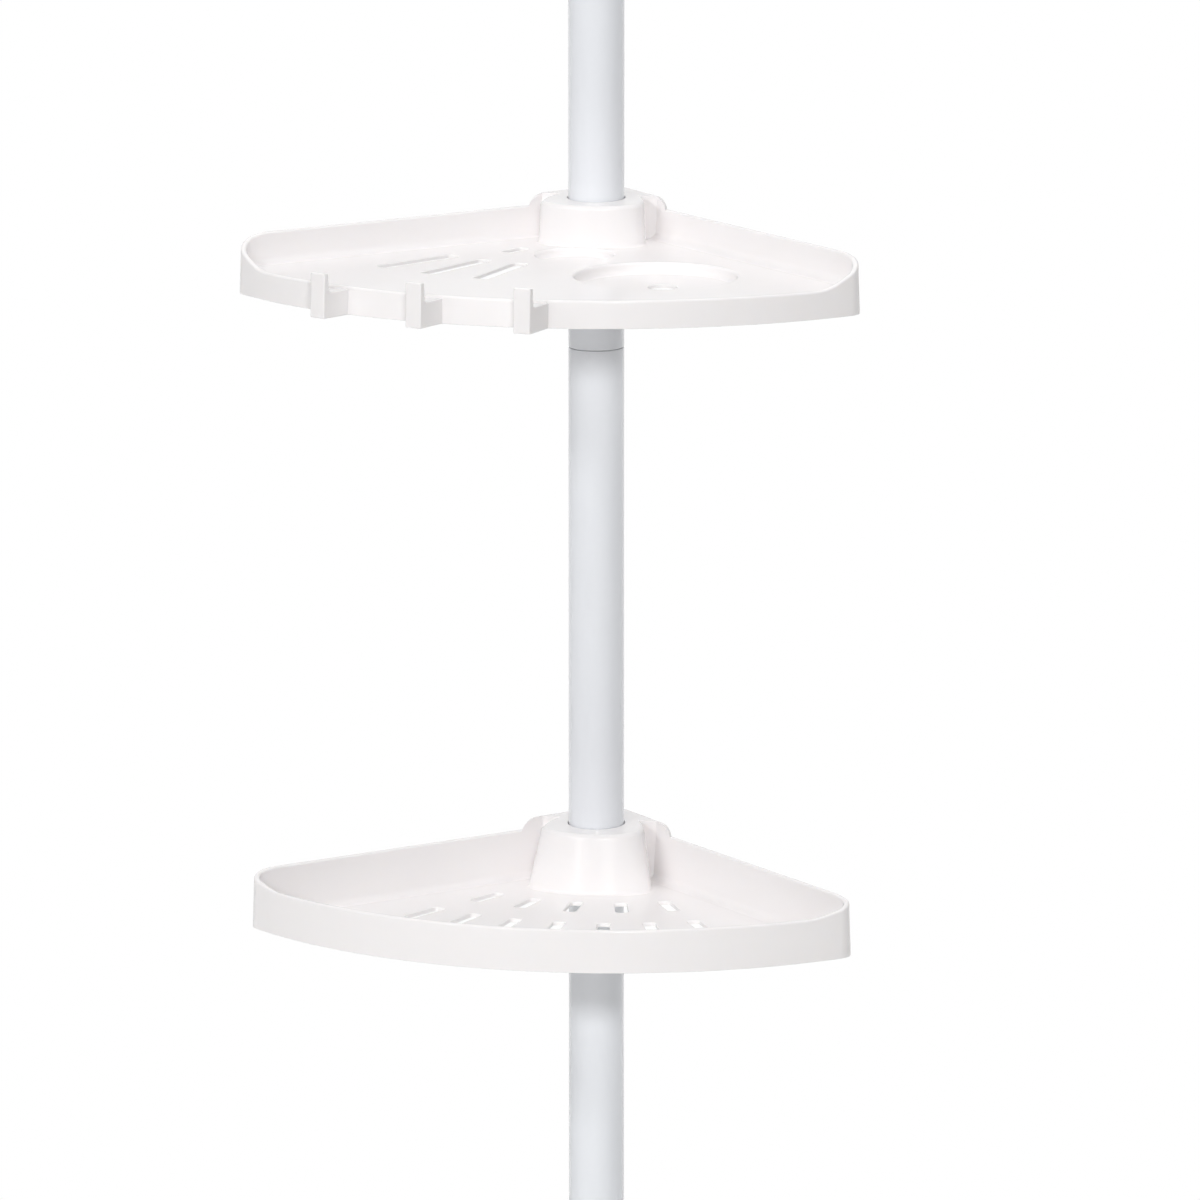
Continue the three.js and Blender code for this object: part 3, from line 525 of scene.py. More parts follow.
@dataclass(frozen=True)
class Edge:
    """A place on the tray's outline: a point, the normal there, and the run from the wing's tip."""

    x: float
    y: float
    nx: float
    ny: float
    run: float

    def inset(self, distance: float, height: float) -> tuple[float, float, float]:
        """Give the point a distance inside the outline, at a height."""
        return (self.x - self.nx * distance, self.y - self.ny * distance, height)


@dataclass
class CornerTray:
    """A moulded corner tray with its hub, without the cut-outs of one model of tray.

    Attributes:
        node: The CAD node it replaces.
        front_y: Where the front crosses the middle of the tray.
        front_radius: Radius of the front's arc.
        floor_top: Height of the floor's upper face over the tray's foot.
        floor_thickness: Thickness of the floor.
        lip_top: Height of the front lip's rim.
        back_relief: How far the walls' underside rises towards the back corner.
        boss_top_diameter: Width of the boss at the hub's top.
        boss_floor_diameter: Width of the boss at the floor.
        hub_half_width: Half the width of the raised corner behind the pole.
    """

    node: str
    front_y: float
    front_radius: float
    floor_top: float
    floor_thickness: float
    lip_top: float
    back_relief: float
    boss_top_diameter: float
    boss_floor_diameter: float
    hub_half_width: float
    # Walls, from above and in section.
    wall_plane: float = 27.1
    wall_top: float = 26.0
    wall: float = 2.6
    slope: float = math.tan(math.radians(2))
    tip_round: float = 8.0
    back_round: float = 16.0
    rim_round: float = 1.15
    foot_fillet: float = 3.4
    under_fillet: float = 0.7
    skirt_round: float = 0.45
    # Runs from the wing's tip over which the underside rises and the rim drops to the lip.
    relief_start: float = 22.0
    relief_length: float = 60.0
    drop_behind: float = 14.0
    drop_ahead: float = 24.0
    # Hub: the raised corner, and the boss round the pole.
    hub_top: float = 31.8
    hub_ceiling: float = 3.0
    hub_round: float = 2.0
    hub_fall: float = 1.3
    shoulder_round: float = 6.5
    hollow_half_width: float = 14.0
    block_front: float = 7.0
    boss_wall: float = 2.4
    boss_setback: float = 12.9
    boss_front_depth: float = 13.4
    boss_back_depth: float = 33.0
    boss_fillet: float = 1.2
    # Hole for the pole, and the socket and ribs in the hollow hub.
    hole_radius: float = 13.25
    socket_top_radius: float = 16.4
    socket_bottom_radius: float = 17.6
    socket_wall: float = 1.8
    socket_bottom: float = 1.5
    rib_thickness: float = 1.8
    # Edges of the slots and of the other solids.
    slot_lip: float = 0.5
    slot_lip_angles: tuple[float, ...] = (0.5, 1.05, math.pi / 2)
    slot_round: float = 1.6
    slot_flat: float = 0.3
    broken_edge: float = 0.6
    overrun: float = 2.0
    # Steps along the curves.
    front_steps: int = 48
    tip_steps: int = 14
    wall_steps: int = 44
    back_steps: int = 10
    round_sides: int = 112

    @property
    def under(self) -> float:
        """Height of the floor's underside."""
        return self.floor_top - self.floor_thickness

    @property
    def arc_y(self) -> float:
        """Where the middle of the front's arc lies."""
        return self.front_y + self.front_radius

    def outline(self) -> list[Edge]:
        """Walk round the tray's foot, anticlockwise from the middle of the front.

        Returns:
            The places on the outline.
        """
        diagonal = math.sqrt(0.5)
        tip_radius = self.front_radius - self.tip_round
        tip_line = self.wall_plane - self.tip_round
        along = math.sqrt(tip_radius**2 - (tip_line - self.arc_y * diagonal) ** 2) - self.arc_y * diagonal
        tip_x = tip_line * diagonal + along * diagonal
        tip_y = tip_line * diagonal - along * diagonal
        tip_start = math.atan2(tip_y - self.arc_y, tip_x)
        back_y = (self.wall_plane - self.back_round) / diagonal
        right: list[Edge] = []

        def place(x: float, y: float, angle: float, radius: float, run: float) -> None:
            """Add a place of the right half, at an angle and radius round a point."""
            nx, ny = math.cos(angle), math.sin(angle)
            right.append(Edge(x + nx * radius, y + ny * radius, nx, ny, run))

        for i in range(self.front_steps):
            share = math.sin(i / self.front_steps * math.pi / 2)
            angle = -math.pi / 2 + (tip_start + math.pi / 2) * share
            run = -tip_start * self.tip_round + self.front_radius * (tip_start - angle)
            place(0, self.arc_y, angle, self.front_radius, run)
        for i in range(self.tip_steps + 1):
            angle = tip_start + (math.pi / 4 - tip_start) * i / self.tip_steps
            place(tip_x, tip_y, angle, self.tip_round, -angle * self.tip_round)
        start = Vector((tip_x + self.tip_round * diagonal, tip_y + self.tip_round * diagonal))
        end = Vector((self.back_round * diagonal, back_y + self.back_round * diagonal))
        length = (end - start).length
        for i in range(1, self.wall_steps):
            share = i / self.wall_steps
            spot = start.lerp(end, share)
            place(spot.x, spot.y, math.pi / 4, 0, -math.pi / 4 * self.tip_round - length * share)
        for i in range(self.back_steps + 1):
            angle = math.pi / 4 * (1 + i / self.back_steps)
            place(0, back_y, angle, self.back_round, -length - angle * self.tip_round)
        left = [Edge(-e.x, e.y, -e.nx, e.ny, e.run) for e in reversed(right[1:-1])]
        return right + left

    def wall_section(self, run: float) -> Section:
        """Give the wall's section at one place of the outline.

        Args:
            run: Distance from the wing's tip, along the outline.

        Returns:
            Pairs of inset and height, from the floor's underside round the wall to the floor.
        """
        drop = smooth_share((run + self.drop_behind) / (self.drop_behind + self.drop_ahead))
        rim = self.wall_top + (self.lip_top - self.wall_top) * drop
        bottom = self.back_relief * smooth_share((-run - self.relief_start) / self.relief_length)
        rise = rim - self.floor_top
        inner = min(self.rim_round, rise / 2)
        fillet = min(self.foot_fillet, rise - inner)
        lean = self.slope * (rim - self.rim_round)
        base = self.slope * bottom
        foot = lean + self.wall + self.slope * (rim - inner - self.floor_top - fillet)
        edge, low = self.skirt_round, self.under_fillet
        return [
            *arc(self.wall + low, self.under - low, low, 90, 180, 3),
            *arc(base + self.wall - edge, bottom + edge, edge, 0, -90, 2),
            *arc(base + edge, bottom + edge, edge, -90, -180, 2),
            *arc(lean + self.rim_round, rim - self.rim_round, self.rim_round, 180, 90, 5),
            *arc(lean + self.wall - inner, rim - inner, inner, 90, 0, 4),
            *arc(foot + fillet, self.floor_top + fillet, fillet, 180, 270, 7),
        ]

    def tray(self) -> Shell:
        """Loft the tray's floor, walls and lip.

        Returns:
            The tray without its hub.
        """
        sections = [(edge, self.wall_section(edge.run)) for edge in self.outline()]
        count = len(sections[0][1])
        return loft([[edge.inset(*section[i]) for edge, section in sections] for i in range(count)])

    def boss_radius(self, height: float) -> float:
        """Radius of the tapered boss at a height."""
        top, floor = self.boss_top_diameter / 2, self.boss_floor_diameter / 2
        return top + (floor - top) * (self.hub_top - height) / (self.hub_top - self.floor_top)

    def top_fall(self, y: float) -> float:
        """Height lost by the hub's top, which falls from the back corner towards the boss's front."""
        return self.hub_fall * (self.wall_plane - y) / (2 * self.wall_plane)

    def boss_ring(self, inset: float, height: float, fall: float = 0.0) -> list[tuple[float, float, float]]:
        """Give a level of the boss: a flat half oval before its widest line and a long one behind it.

        Args:
            inset: Distance inside the boss's side.
            height: The level's height.
            fall: Share of the hub top's slope that the level follows.

        Returns:
            The level's points, anticlockwise from the right.
        """
        half = self.boss_radius(height)
        ring = []
        for i in range(self.round_sides):
            angle = 2 * math.pi * i / self.round_sides
            depth = (self.boss_back_depth if math.sin(angle) > 0 else self.boss_front_depth) - inset
            y = self.boss_setback - half + depth * math.sin(angle)
            ring.append(((half - inset) * math.cos(angle), y, height - fall * self.top_fall(y)))
        return ring

    def boss(self) -> Shell:
        """Loft the boss, with a fillet at its foot and a round at its top.

        Returns:
            The solid boss.
        """
        fillet, edge = self.boss_fillet, self.hub_round
        rings = [self.boss_ring(-fillet, self.under)]
        foot = arc(fillet, self.floor_top + fillet, fillet, 270, 180, 6)
        rings += [self.boss_ring(-outside, height) for outside, height in foot]
        top = arc(-edge, self.hub_top - edge, edge, 0, 90, 6)
        rings += [self.boss_ring(-outside, height, 1.0) for outside, height in top]
        return loft(rings)

    def corner(self) -> Carving:
        """Raise the corner behind the pole, with rounded shoulders that stand on the walls.

        Returns:
            The solid corner.
        """
        outline = self.outline()
        half, bend = self.hub_half_width, self.shoulder_round
        lean = self.slope * self.hub_top
        levels = [(self.slope * self.under, self.under)]
        levels += arc(lean + self.hub_round, self.hub_top - self.hub_round, self.hub_round, 180, 90, 5)
        rings = [[edge.inset(*level) for edge in outline] for level in levels]
        rings[1:] = [[(x, y, z - self.top_fall(y)) for x, y, z in ring] for ring in rings[1:]]
        solid = loft(rings)
        front = [
            (-half, self.under - self.overrun),
            (half, self.under - self.overrun),
            *arc(half - bend, self.hub_top - bend, bend, 0, 90, 8),
            *arc(bend - half, self.hub_top - bend, bend, 90, 180, 8),
        ]
        reach = 2 * self.wall_plane
        slab = loft([[(x, y, z - self.top_fall(y)) for x, z in front] for y in (reach, -self.overrun)])
        carving = Carving(f"{self.node}_corner", solid, edge_round=self.broken_edge).common(slab)
        return carving.cut(self.wall_front(1), self.wall_front(-1))

    def wall_front(self, side: int) -> Shell:
        """Fill the space in front of a side wall's inner face and of the filled corner.

        Args:
            side: 1 for the right wall, -1 for the left.

        Returns:
            The space, drafted like the wall's face.
        """
        near, far = self.hollow_half_width, self.hub_half_width + self.overrun
        front = self.block_front
        rim = self.wall_top - self.rim_round
        rings = []
        for height in (self.floor_top, self.hub_top + self.overrun):
            inset = self.wall + self.slope * (2 * rim - height)
            reach = (self.wall_plane - inset) * math.sqrt(2)
            ring = [(near, -far), (far, -far), (far, reach - far), (reach - front, front), (near, front)]
            placed = [(side * x, y, height) for x, y in ring]
            rings.append(placed if side > 0 else placed[::-1])
        return loft(rings)

    def hollow(self) -> Carving:
        """Hollow the hub from below, and leave its socket and ribs standing.

        Returns:
            The space to cut away.
        """
        ceiling = self.hub_top - self.hub_ceiling
        foot = self.boss_ring(self.boss_wall, self.floor_top)
        inside = [[(x, y, z) for x, y, _ in foot] for z in (-self.overrun, self.under)]
        inside.append(self.boss_ring(self.boss_wall, ceiling))
        space = [(0, -self.overrun), (self.socket_bottom_radius, -self.overrun)]
        space += [(self.socket_bottom_radius, self.socket_bottom), (self.socket_top_radius, ceiling)]
        space.append((0, ceiling))
        inset = self.wall + self.slope * self.hub_top
        outline = self.outline()
        deep = loft([[e.inset(inset, z) for e in outline] for z in (-self.overrun, ceiling)])
        width = 2 * self.wall_plane
        behind = block(2 * self.hollow_half_width, width, -self.overrun, ceiling).moved(y=width / 2)
        socket = [
            (self.socket_bottom_radius, self.socket_bottom),
            (self.socket_bottom_radius + self.socket_wall, self.socket_bottom),
            (self.socket_top_radius + self.socket_wall, self.hub_top),
            (self.socket_top_radius, self.hub_top),
        ]
        inner = self.socket_top_radius + self.socket_wall / 2
        outer = self.wall_plane * math.sqrt(2)
        rib = block(outer - inner, self.rib_thickness, self.socket_bottom, self.hub_top)
        ribs = [rib.moved(x=(inner + outer) / 2).turned(90 * i) for i in range(4)]
        kept = Carving(f"{self.node}_socket", lathe(socket, self.round_sides)).add(*ribs)
        whole = Carving(f"{self.node}_hollow", loft(inside))
        whole.add(Carving(f"{self.node}_behind", deep).common(behind)).cut(kept)
        return whole.add(lathe(space, self.round_sides))

    def radial_slot(self, inner: float, outer: float, width: float, degrees: float) -> Shell:
        """Cut through the floor along the front's radius, with a soft upper edge.

        Args:
            inner: Distance of the slot's near end from the middle of the front's arc.
            outer: Distance of its far end.
            width: Its width.
            degrees: Its angle from straight ahead, positive to the right.

        Returns:
            The cutting solid.
        """
        lip = self.slot_lip
        levels = [(0.0, self.under - self.overrun), (0.0, self.floor_top - lip)]
        for angle in self.slot_lip_angles:
            levels.append((lip * (1 - math.cos(angle)), self.floor_top - lip * (1 - math.sin(angle))))
        levels.append((lip, self.floor_top + self.overrun))
        rings = []
        for grow, height in levels:
            half = width / 2 + grow
            bend = min(self.slot_round + grow, half - self.slot_flat)
            near, far = inner - grow + bend, outer + grow - bend
            outline = [
                *arc(far, bend - half, bend, -90, 0, 4),
                *arc(far, half - bend, bend, 0, 90, 4),
                *arc(near, half - bend, bend, 90, 180, 4),
                *arc(near, bend - half, bend, 180, 270, 4),
            ]
            rings.append([(x, y, height) for x, y in outline])
        return loft(rings).turned(degrees - 90).moved(y=self.arc_y)

    def ready(self) -> Carving:
        """Join tray, boss and corner, and open the hub from below.

        Returns:
            The tray with its hub.
        """
        hole = [(0, -self.overrun), (self.hole_radius, -self.overrun)]
        hole += [(self.hole_radius, self.hub_top + self.overrun), (0, self.hub_top + self.overrun)]
        carving = Carving(self.node, self.tray()).add(self.boss(), self.corner())
        return carving.cut(self.hollow(), lathe(hole, self.round_sides))

    def details(self, carving: Carving) -> Carving:
        """Add what only this tray has."""
        return carving

    def build(self) -> bpy.types.Object:
        """Make the tray and put it in its CAD node's place.

        Returns:
            The finished piece.
        """
        thing = self.details(self.ready()).make()
        thing.name = f"{self.node}_moulding"
        base = height_of(self.node) * MM
        for vertex in thing.data.vertices:
            vertex.co.z += base
        soften(thing)
        dress(thing, self.node, "white_plastic")
        return thing


@dataclass
class Recess:
    """A round recess in a tray's floor.

    Attributes:
        x: Its middle's place to the right of the pole's axis.
        y: Its middle's place behind the axis, negative in front of it.
        radius: Radius of its wall.
        depth: How deep its floor lies.
        floor_round: Radius between its floor and its wall.
        rim_round: Radius of its upper edge.
        wall: Thickness of the cup under it.
        cup_round: Radius of the cup's lower edge.
        overrun: How far the cutting solid goes on above the floor.
        sides: Number of steps round.
    """

    x: float
    y: float
    radius: float
    depth: float
    floor_round: float
    rim_round: float = 1.2
    wall: float = 1.5
    cup_round: float = 1.5
    overrun: float = 2.0
    sides: int = 128

    def cup(self, floor_top: float, middle: float) -> Shell:
        """Give the cup's outside, hanging under the floor.

        Args:
            floor_top: Height of the tray's floor.
            middle: A height inside the floor, where the cup ends.

        Returns:
            The solid cup.
        """
        bottom = floor_top - self.depth - self.wall
        outer, bend = self.radius + self.wall, self.cup_round
        profile = [
            (0, bottom),
            *arc(outer - bend, bottom + bend, bend, 270, 360, 4),
            (outer, middle),
            (0, middle),
        ]
        return lathe(profile, self.sides).moved(self.x, self.y)

    def hollow(self, floor_top: float) -> Shell:
        """Give the cup's inside, with a rounded rim and a rounded bottom edge.

        Args:
            floor_top: Height of the tray's floor.

        Returns:
            The space to cut away.
        """
        floor, bend, rim = floor_top - self.depth, self.floor_round, self.rim_round
        profile = [
            (0, floor),
            *arc(self.radius - bend, floor + bend, bend, 270, 360, 6),
            *arc(self.radius + rim, floor_top - rim, rim, 180, 90, 6),
            (self.radius + rim, floor_top + self.overrun),
            (0, floor_top + self.overrun),
        ]
        return lathe(profile, self.sides).moved(self.x, self.y)


@dataclass
class UpperTray(CornerTray):
    """The shallow tray with recesses, drain slots and hooks."""

    slot_angles: tuple[float, ...] = (-34.9, -23.4, -11.9)
    slot_inner: float = 92.0
    slot_outer: float = 137.0
    slot_width: float = 7.0
    # Near end, far end, width and angle.
    short_slot: tuple[float, float, float, float] = (56.0, 70.0, 6.0, -28.2)
    tumbler: Recess = field(default_factory=lambda: Recess(x=46, y=-92, radius=36, depth=5, floor_round=2.5))
    small: Recess = field(default_factory=lambda: Recess(x=-1, y=-43, radius=17.5, depth=3.5, floor_round=2))
    drain_diameter: float = 13.0
    drain_shift: float = 3.0
    drain_sides: int = 48
    # Where each hook's tip lies, and the way its web points.
    hook_angles: tuple[Pair, ...] = ((-26.2, -28.5), (-12.3, -21.6), (1.6, -14.7))
    hook_reach: float = 15.5
    hook_width: float = 8.2
    hook_tab_top: float = 20.0
    hook_tab: float = 3.2
    hook_draft: float = 0.5
    hook_root: float = 1.5
    hook_seat: float = 4.0

    def hook(self, tip_degrees: float, web_degrees: float) -> Carving:
        """Shape one hook on the apron.

        Args:
            tip_degrees: Where the hook's tip lies on the front's arc, from straight ahead.
            web_degrees: The way its web points, from straight ahead.

        Returns:
            The hook in its place.
        """
        back, web = -self.hook_reach - self.hook_seat, self.lip_top - self.rim_round
        behind, root = -self.hook_tab, self.hook_root
        side = [
            (back, 0),
            (0, 0),
            (-self.hook_draft, self.hook_tab_top),
            (behind, self.hook_tab_top),
            *arc(behind - self.hook_draft - root, web + root, root, 0, -90, 4),
            (back, web),
        ]
        half = self.hook_width / 2
        body = loft([[(x, y, z) for x, z in side] for y in (half, -half)]).turned(web_degrees - 90)
        around, tip = math.radians(tip_degrees - 90), self.front_radius + self.hook_reach
        placed = body.moved(tip * math.cos(around), self.arc_y + tip * math.sin(around))
        return Carving("hook", placed, edge_round=self.broken_edge)

    def details(self, carving: Carving) -> Carving:
        """Add the recesses, slots, drain and hooks.

        Args:
            carving: The tray so far.

        Returns:
            The tray with all its features.
        """
        middle = self.floor_top - self.floor_thickness / 2
        small_hollow = Carving("small_hollow", self.small.hollow(self.floor_top)).cut(self.boss())
        small_cup = Carving("small_cup", self.small.cup(self.floor_top, middle)).cut(self.hollow())
        drain_top = self.floor_top - self.tumbler.depth
        radius, lip = self.drain_diameter / 2, self.slot_lip
        drain = [
            (0, -self.overrun),
            (radius, -self.overrun),
            *arc(radius + lip, drain_top - lip, lip, 180, 90, 4),
            (radius + lip, drain_top + self.overrun / 2),
            (0, drain_top + self.overrun / 2),
        ]
        carving.add(self.tumbler.cup(self.floor_top, middle), small_cup)
        carving.cut(self.tumbler.hollow(self.floor_top), small_hollow)
        drain_x = self.tumbler.x + self.drain_shift
        carving.cut(lathe(drain, self.drain_sides).moved(drain_x, self.tumbler.y))
        for degrees in self.slot_angles:
            carving.cut(self.radial_slot(self.slot_inner, self.slot_outer, self.slot_width, degrees))
        carving.cut(self.radial_slot(*self.short_slot))
        return carving.add(*[self.hook(*angles) for angles in self.hook_angles])


@dataclass
class LowerTray(CornerTray):
    """The deeper tray with two rows of drain slots."""

    slot_width: float = 5.8
    # Radius of the row's middle, slot length, degrees between slots and their number.
    rows: tuple[tuple[float, float, float, int], ...] = ((92.5, 18.5, 13.6, 5), (133.0, 22.5, 9.5, 7))

    def details(self, carving: Carving) -> Carving:
        """Cut the two rows of slots.

        Args:
            carving: The tray so far.

        Returns:
            The tray with its slots.
        """
        for radius, length, pitch, count in self.rows:
            near, far = radius - length / 2, radius + length / 2
            for i in range(count):
                carving.cut(self.radial_slot(near, far, self.slot_width, (i - (count - 1) / 2) * pitch))
        return carving


# Pole


@dataclass
class PoleTube:
    """An enamelled steel tube with softly broken ends, and a swaged spigot where it has one.

    Attributes:
        node: The CAD node it replaces.
        diameter: Outer diameter.
        wall: Thickness of the tube's wall.
        spigot: Length of the swaged spigot, or zero without one.
        clearance: Gap between the spigot and the bore that it plugs into.
        edge_round: Radius of the ends' edges.
        crimp_degrees: Where the locating dimple lies round the axis, or None without one.
        crimp_below: How far the dimple's middle lies below the foot of the spigot.
        crimp_radius: Radius of the dimple.
        crimp_depth: Depth of the dimple.
        crimp_rings: Number of rings that carry it.
        spigot_lead: Length of the spigot's taper.
        spigot_lip: Width of the spigot's end face.
        sides: Number of steps round.
    """

    node: str
    diameter: float
    wall: float = 0.8
    spigot: float = 0.0
    clearance: float = 0.3
    edge_round: float = 0.4
    crimp_degrees: float | None = None
    crimp_below: float = 2.3
    crimp_radius: float = 1.9
    crimp_depth: float = 0.45
    crimp_rings: int = 16
    spigot_lead: float = 1.5
    spigot_lip: float = 0.4
    sides: int = 144

    def swell(self, angle: float, radius: float, height: float) -> float:
        """Press the small locating dimple into the tube's outside, just below its spigot.

        Args:
            angle: Angle about the pole's axis, in radians.
            radius: The profile's radius there.
            height: Its height.

        Returns:
            What is added to the radius.
        """
        if self.crimp_degrees is None or radius < self.diameter / 2 - HAIR:
            return 0.0
        top = height_of(self.node, top=True) - self.spigot
        around = (angle - math.radians(self.crimp_degrees) + math.pi) % (2 * math.pi) - math.pi
        away = math.hypot(around * self.diameter / 2, height - (top - self.crimp_below))
        return -self.crimp_depth * smooth_share(1 - away / self.crimp_radius)

    def build(self) -> bpy.types.Object:
        """Make the tube in its CAD node's place.

        Returns:
            The finished piece.
        """
        outer, edge = self.diameter / 2, self.edge_round
        bore = outer - self.wall
        bottom, end = height_of(self.node), height_of(self.node, top=True)
        top = end - self.spigot
        profile = [(bore, bottom + edge / 2), *arc(outer - edge, bottom + edge, edge, 270, 360, 4)]
        if self.crimp_degrees is not None:
            low = top - self.crimp_below - self.crimp_radius
            high = top - edge
            profile += [(outer, low + (high - low) * i / self.crimp_rings) for i in range(self.crimp_rings)]
        profile += arc(outer - edge, top - edge, edge, 0, 90, 4)
        if self.spigot:
            neck, lip = bore - self.clearance, self.spigot_lip
            inner = neck - self.wall
            profile += [(neck, top), (neck, end - self.spigot_lead)]
            profile += [(inner + lip, end), (inner, end - lip / 2)]
            profile += [(inner, top - self.wall), (bore, top - 2 * self.wall)]
        else:
            profile += [(bore, top - edge / 2)]
        thing = lathe(profile, self.sides, self.swell).make(f"{self.node}_enamelled")
        soften(thing, sharp_degrees=40)
        dress(thing, self.node, "painted_tube")
        return thing


@dataclass
class TurnedFitting:
    """A turned or moulded fitting, given by its profile, with grip ribs where it has them.

    Attributes:
        node: The CAD node it replaces.
        slot: The record's material slot.
        profile: Its section, as pairs of radius and height.
        ribs: Number of grip ribs round it.
        rib_height: How far the ribs stand out, or how deep the grooves are where it is negative.
        rib_band: Lowest and highest level with ribs.
        rib_from: Smallest radius with ribs.
        rib_swing: Swing of the wave that shapes the ribs.
        rib_lift: What is added to that wave, which sets how wide the ribs are.
        sides: Number of steps round.
        flipped_in: Height in which the fitting stands on its head, or zero.
    """

    node: str
    slot: str
    profile: Section
    ribs: int = 0
    rib_height: float = 0.0
    rib_band: Pair = (0.0, 0.0)
    rib_from: float = 0.0
    rib_swing: float = 0.9
    rib_lift: float = 0.4
    sides: int = 96
    flipped_in: float = 0.0

    def swell(self, angle: float, radius: float, height: float) -> float:
        """Raise the grip ribs on the outside, within their band of heights.

        Args:
            angle: Angle about the pole's axis, in radians.
            radius: The profile's radius there.
            height: Its height.

        Returns:
            What is added to the radius.
        """
        low, high = self.rib_band
        if not self.ribs or radius < self.rib_from or not low <= height <= high:
            return 0.0
        return self.rib_height * smooth_share(math.cos(self.ribs * angle) * self.rib_swing + self.rib_lift)

    def build(self) -> bpy.types.Object:
        """Make the fitting in its CAD node's place.

        Returns:
            The finished piece.
        """
        shell = lathe(self.profile, self.sides, self.swell)
        if self.flipped_in:
            shell = shell.flipped(self.flipped_in)
        thing = shell.make(f"{self.node}_turned")
        soften(thing, sharp_degrees=40)
        dress(thing, self.node, self.slot)
        return thing


@dataclass
class TensionSpring:
    """The compression spring inside the extension tube, as a smooth wound wire.

    Attributes:
        node: The CAD node it replaces.
        joint: The joint that closes it. Not used.
        wire: Diameter of the wire.
        mean_diameter: Diameter of the wire's middle line.
        turns: Number of turns.
        end_turns: Number of flatter turns at each end.
        end_pitch_share: Pitch of those turns, as a share of the wire's diameter.
        press: How far the plunger goes in. Not used.
        steps_per_turn: Number of steps in a turn.
        wire_sides: Number of steps round the wire.
    """

    node: str = "tension_spring"
    joint: str = "plunger_press"
    wire: float = 2.2
    mean_diameter: float = 16.4
    turns: float = 26.0
    end_turns: float = 0.75
    end_pitch_share: float = 1.3
    press: float = 45.0
    steps_per_turn: int = 36
    wire_sides: int = 12

    def rise(self, turn: float, length: float) -> float:
        """Height of the wire's middle over the spring's underside.

        Args:
            turn: Number of turns from the lower end.
            length: Length of the whole spring.

        Returns:
            The height, with flatter end turns and an even pitch between them.
        """
        active = self.turns - 2 * self.end_turns
        end_pitch = self.wire * self.end_pitch_share
        end_rise = self.end_turns * end_pitch
        pitch = (length - self.wire - 2 * end_rise) / active
        lower = min(turn, self.end_turns) * end_pitch
        middle = min(max(turn - self.end_turns, 0.0), active) * pitch
        upper = max(turn - self.end_turns - active, 0.0) * end_pitch
        return self.wire / 2 + lower + middle + upper

    def build(self) -> bpy.types.Object:
        """Wind the spring in its CAD node's place.

        Returns:
            The finished piece.
        """
        bottom, top = height_of(self.node), height_of(self.node, top=True)
        length, radius, wire = top - bottom, self.mean_diameter / 2, self.wire / 2
        rings = []
        steps = int(self.turns * self.steps_per_turn)
        for i in range(steps + 1):
            turn = i / self.steps_per_turn
            angle = 2 * math.pi * turn
            height = bottom + self.rise(turn, length)
            ring = []
            for side in range(self.wire_sides):
                around = 2 * math.pi * side / self.wire_sides
                reach = radius - wire * math.cos(around)
                lift = wire * math.sin(around)
                ring.append((reach * math.cos(angle), reach * math.sin(angle), height + lift))
            rings.append(ring)
        thing = loft(rings).make("tension_spring_wire")
        soften(thing, sharp_degrees=50)
        dress(thing, self.node, "zinc_steel")
        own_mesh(thing)
        return thing


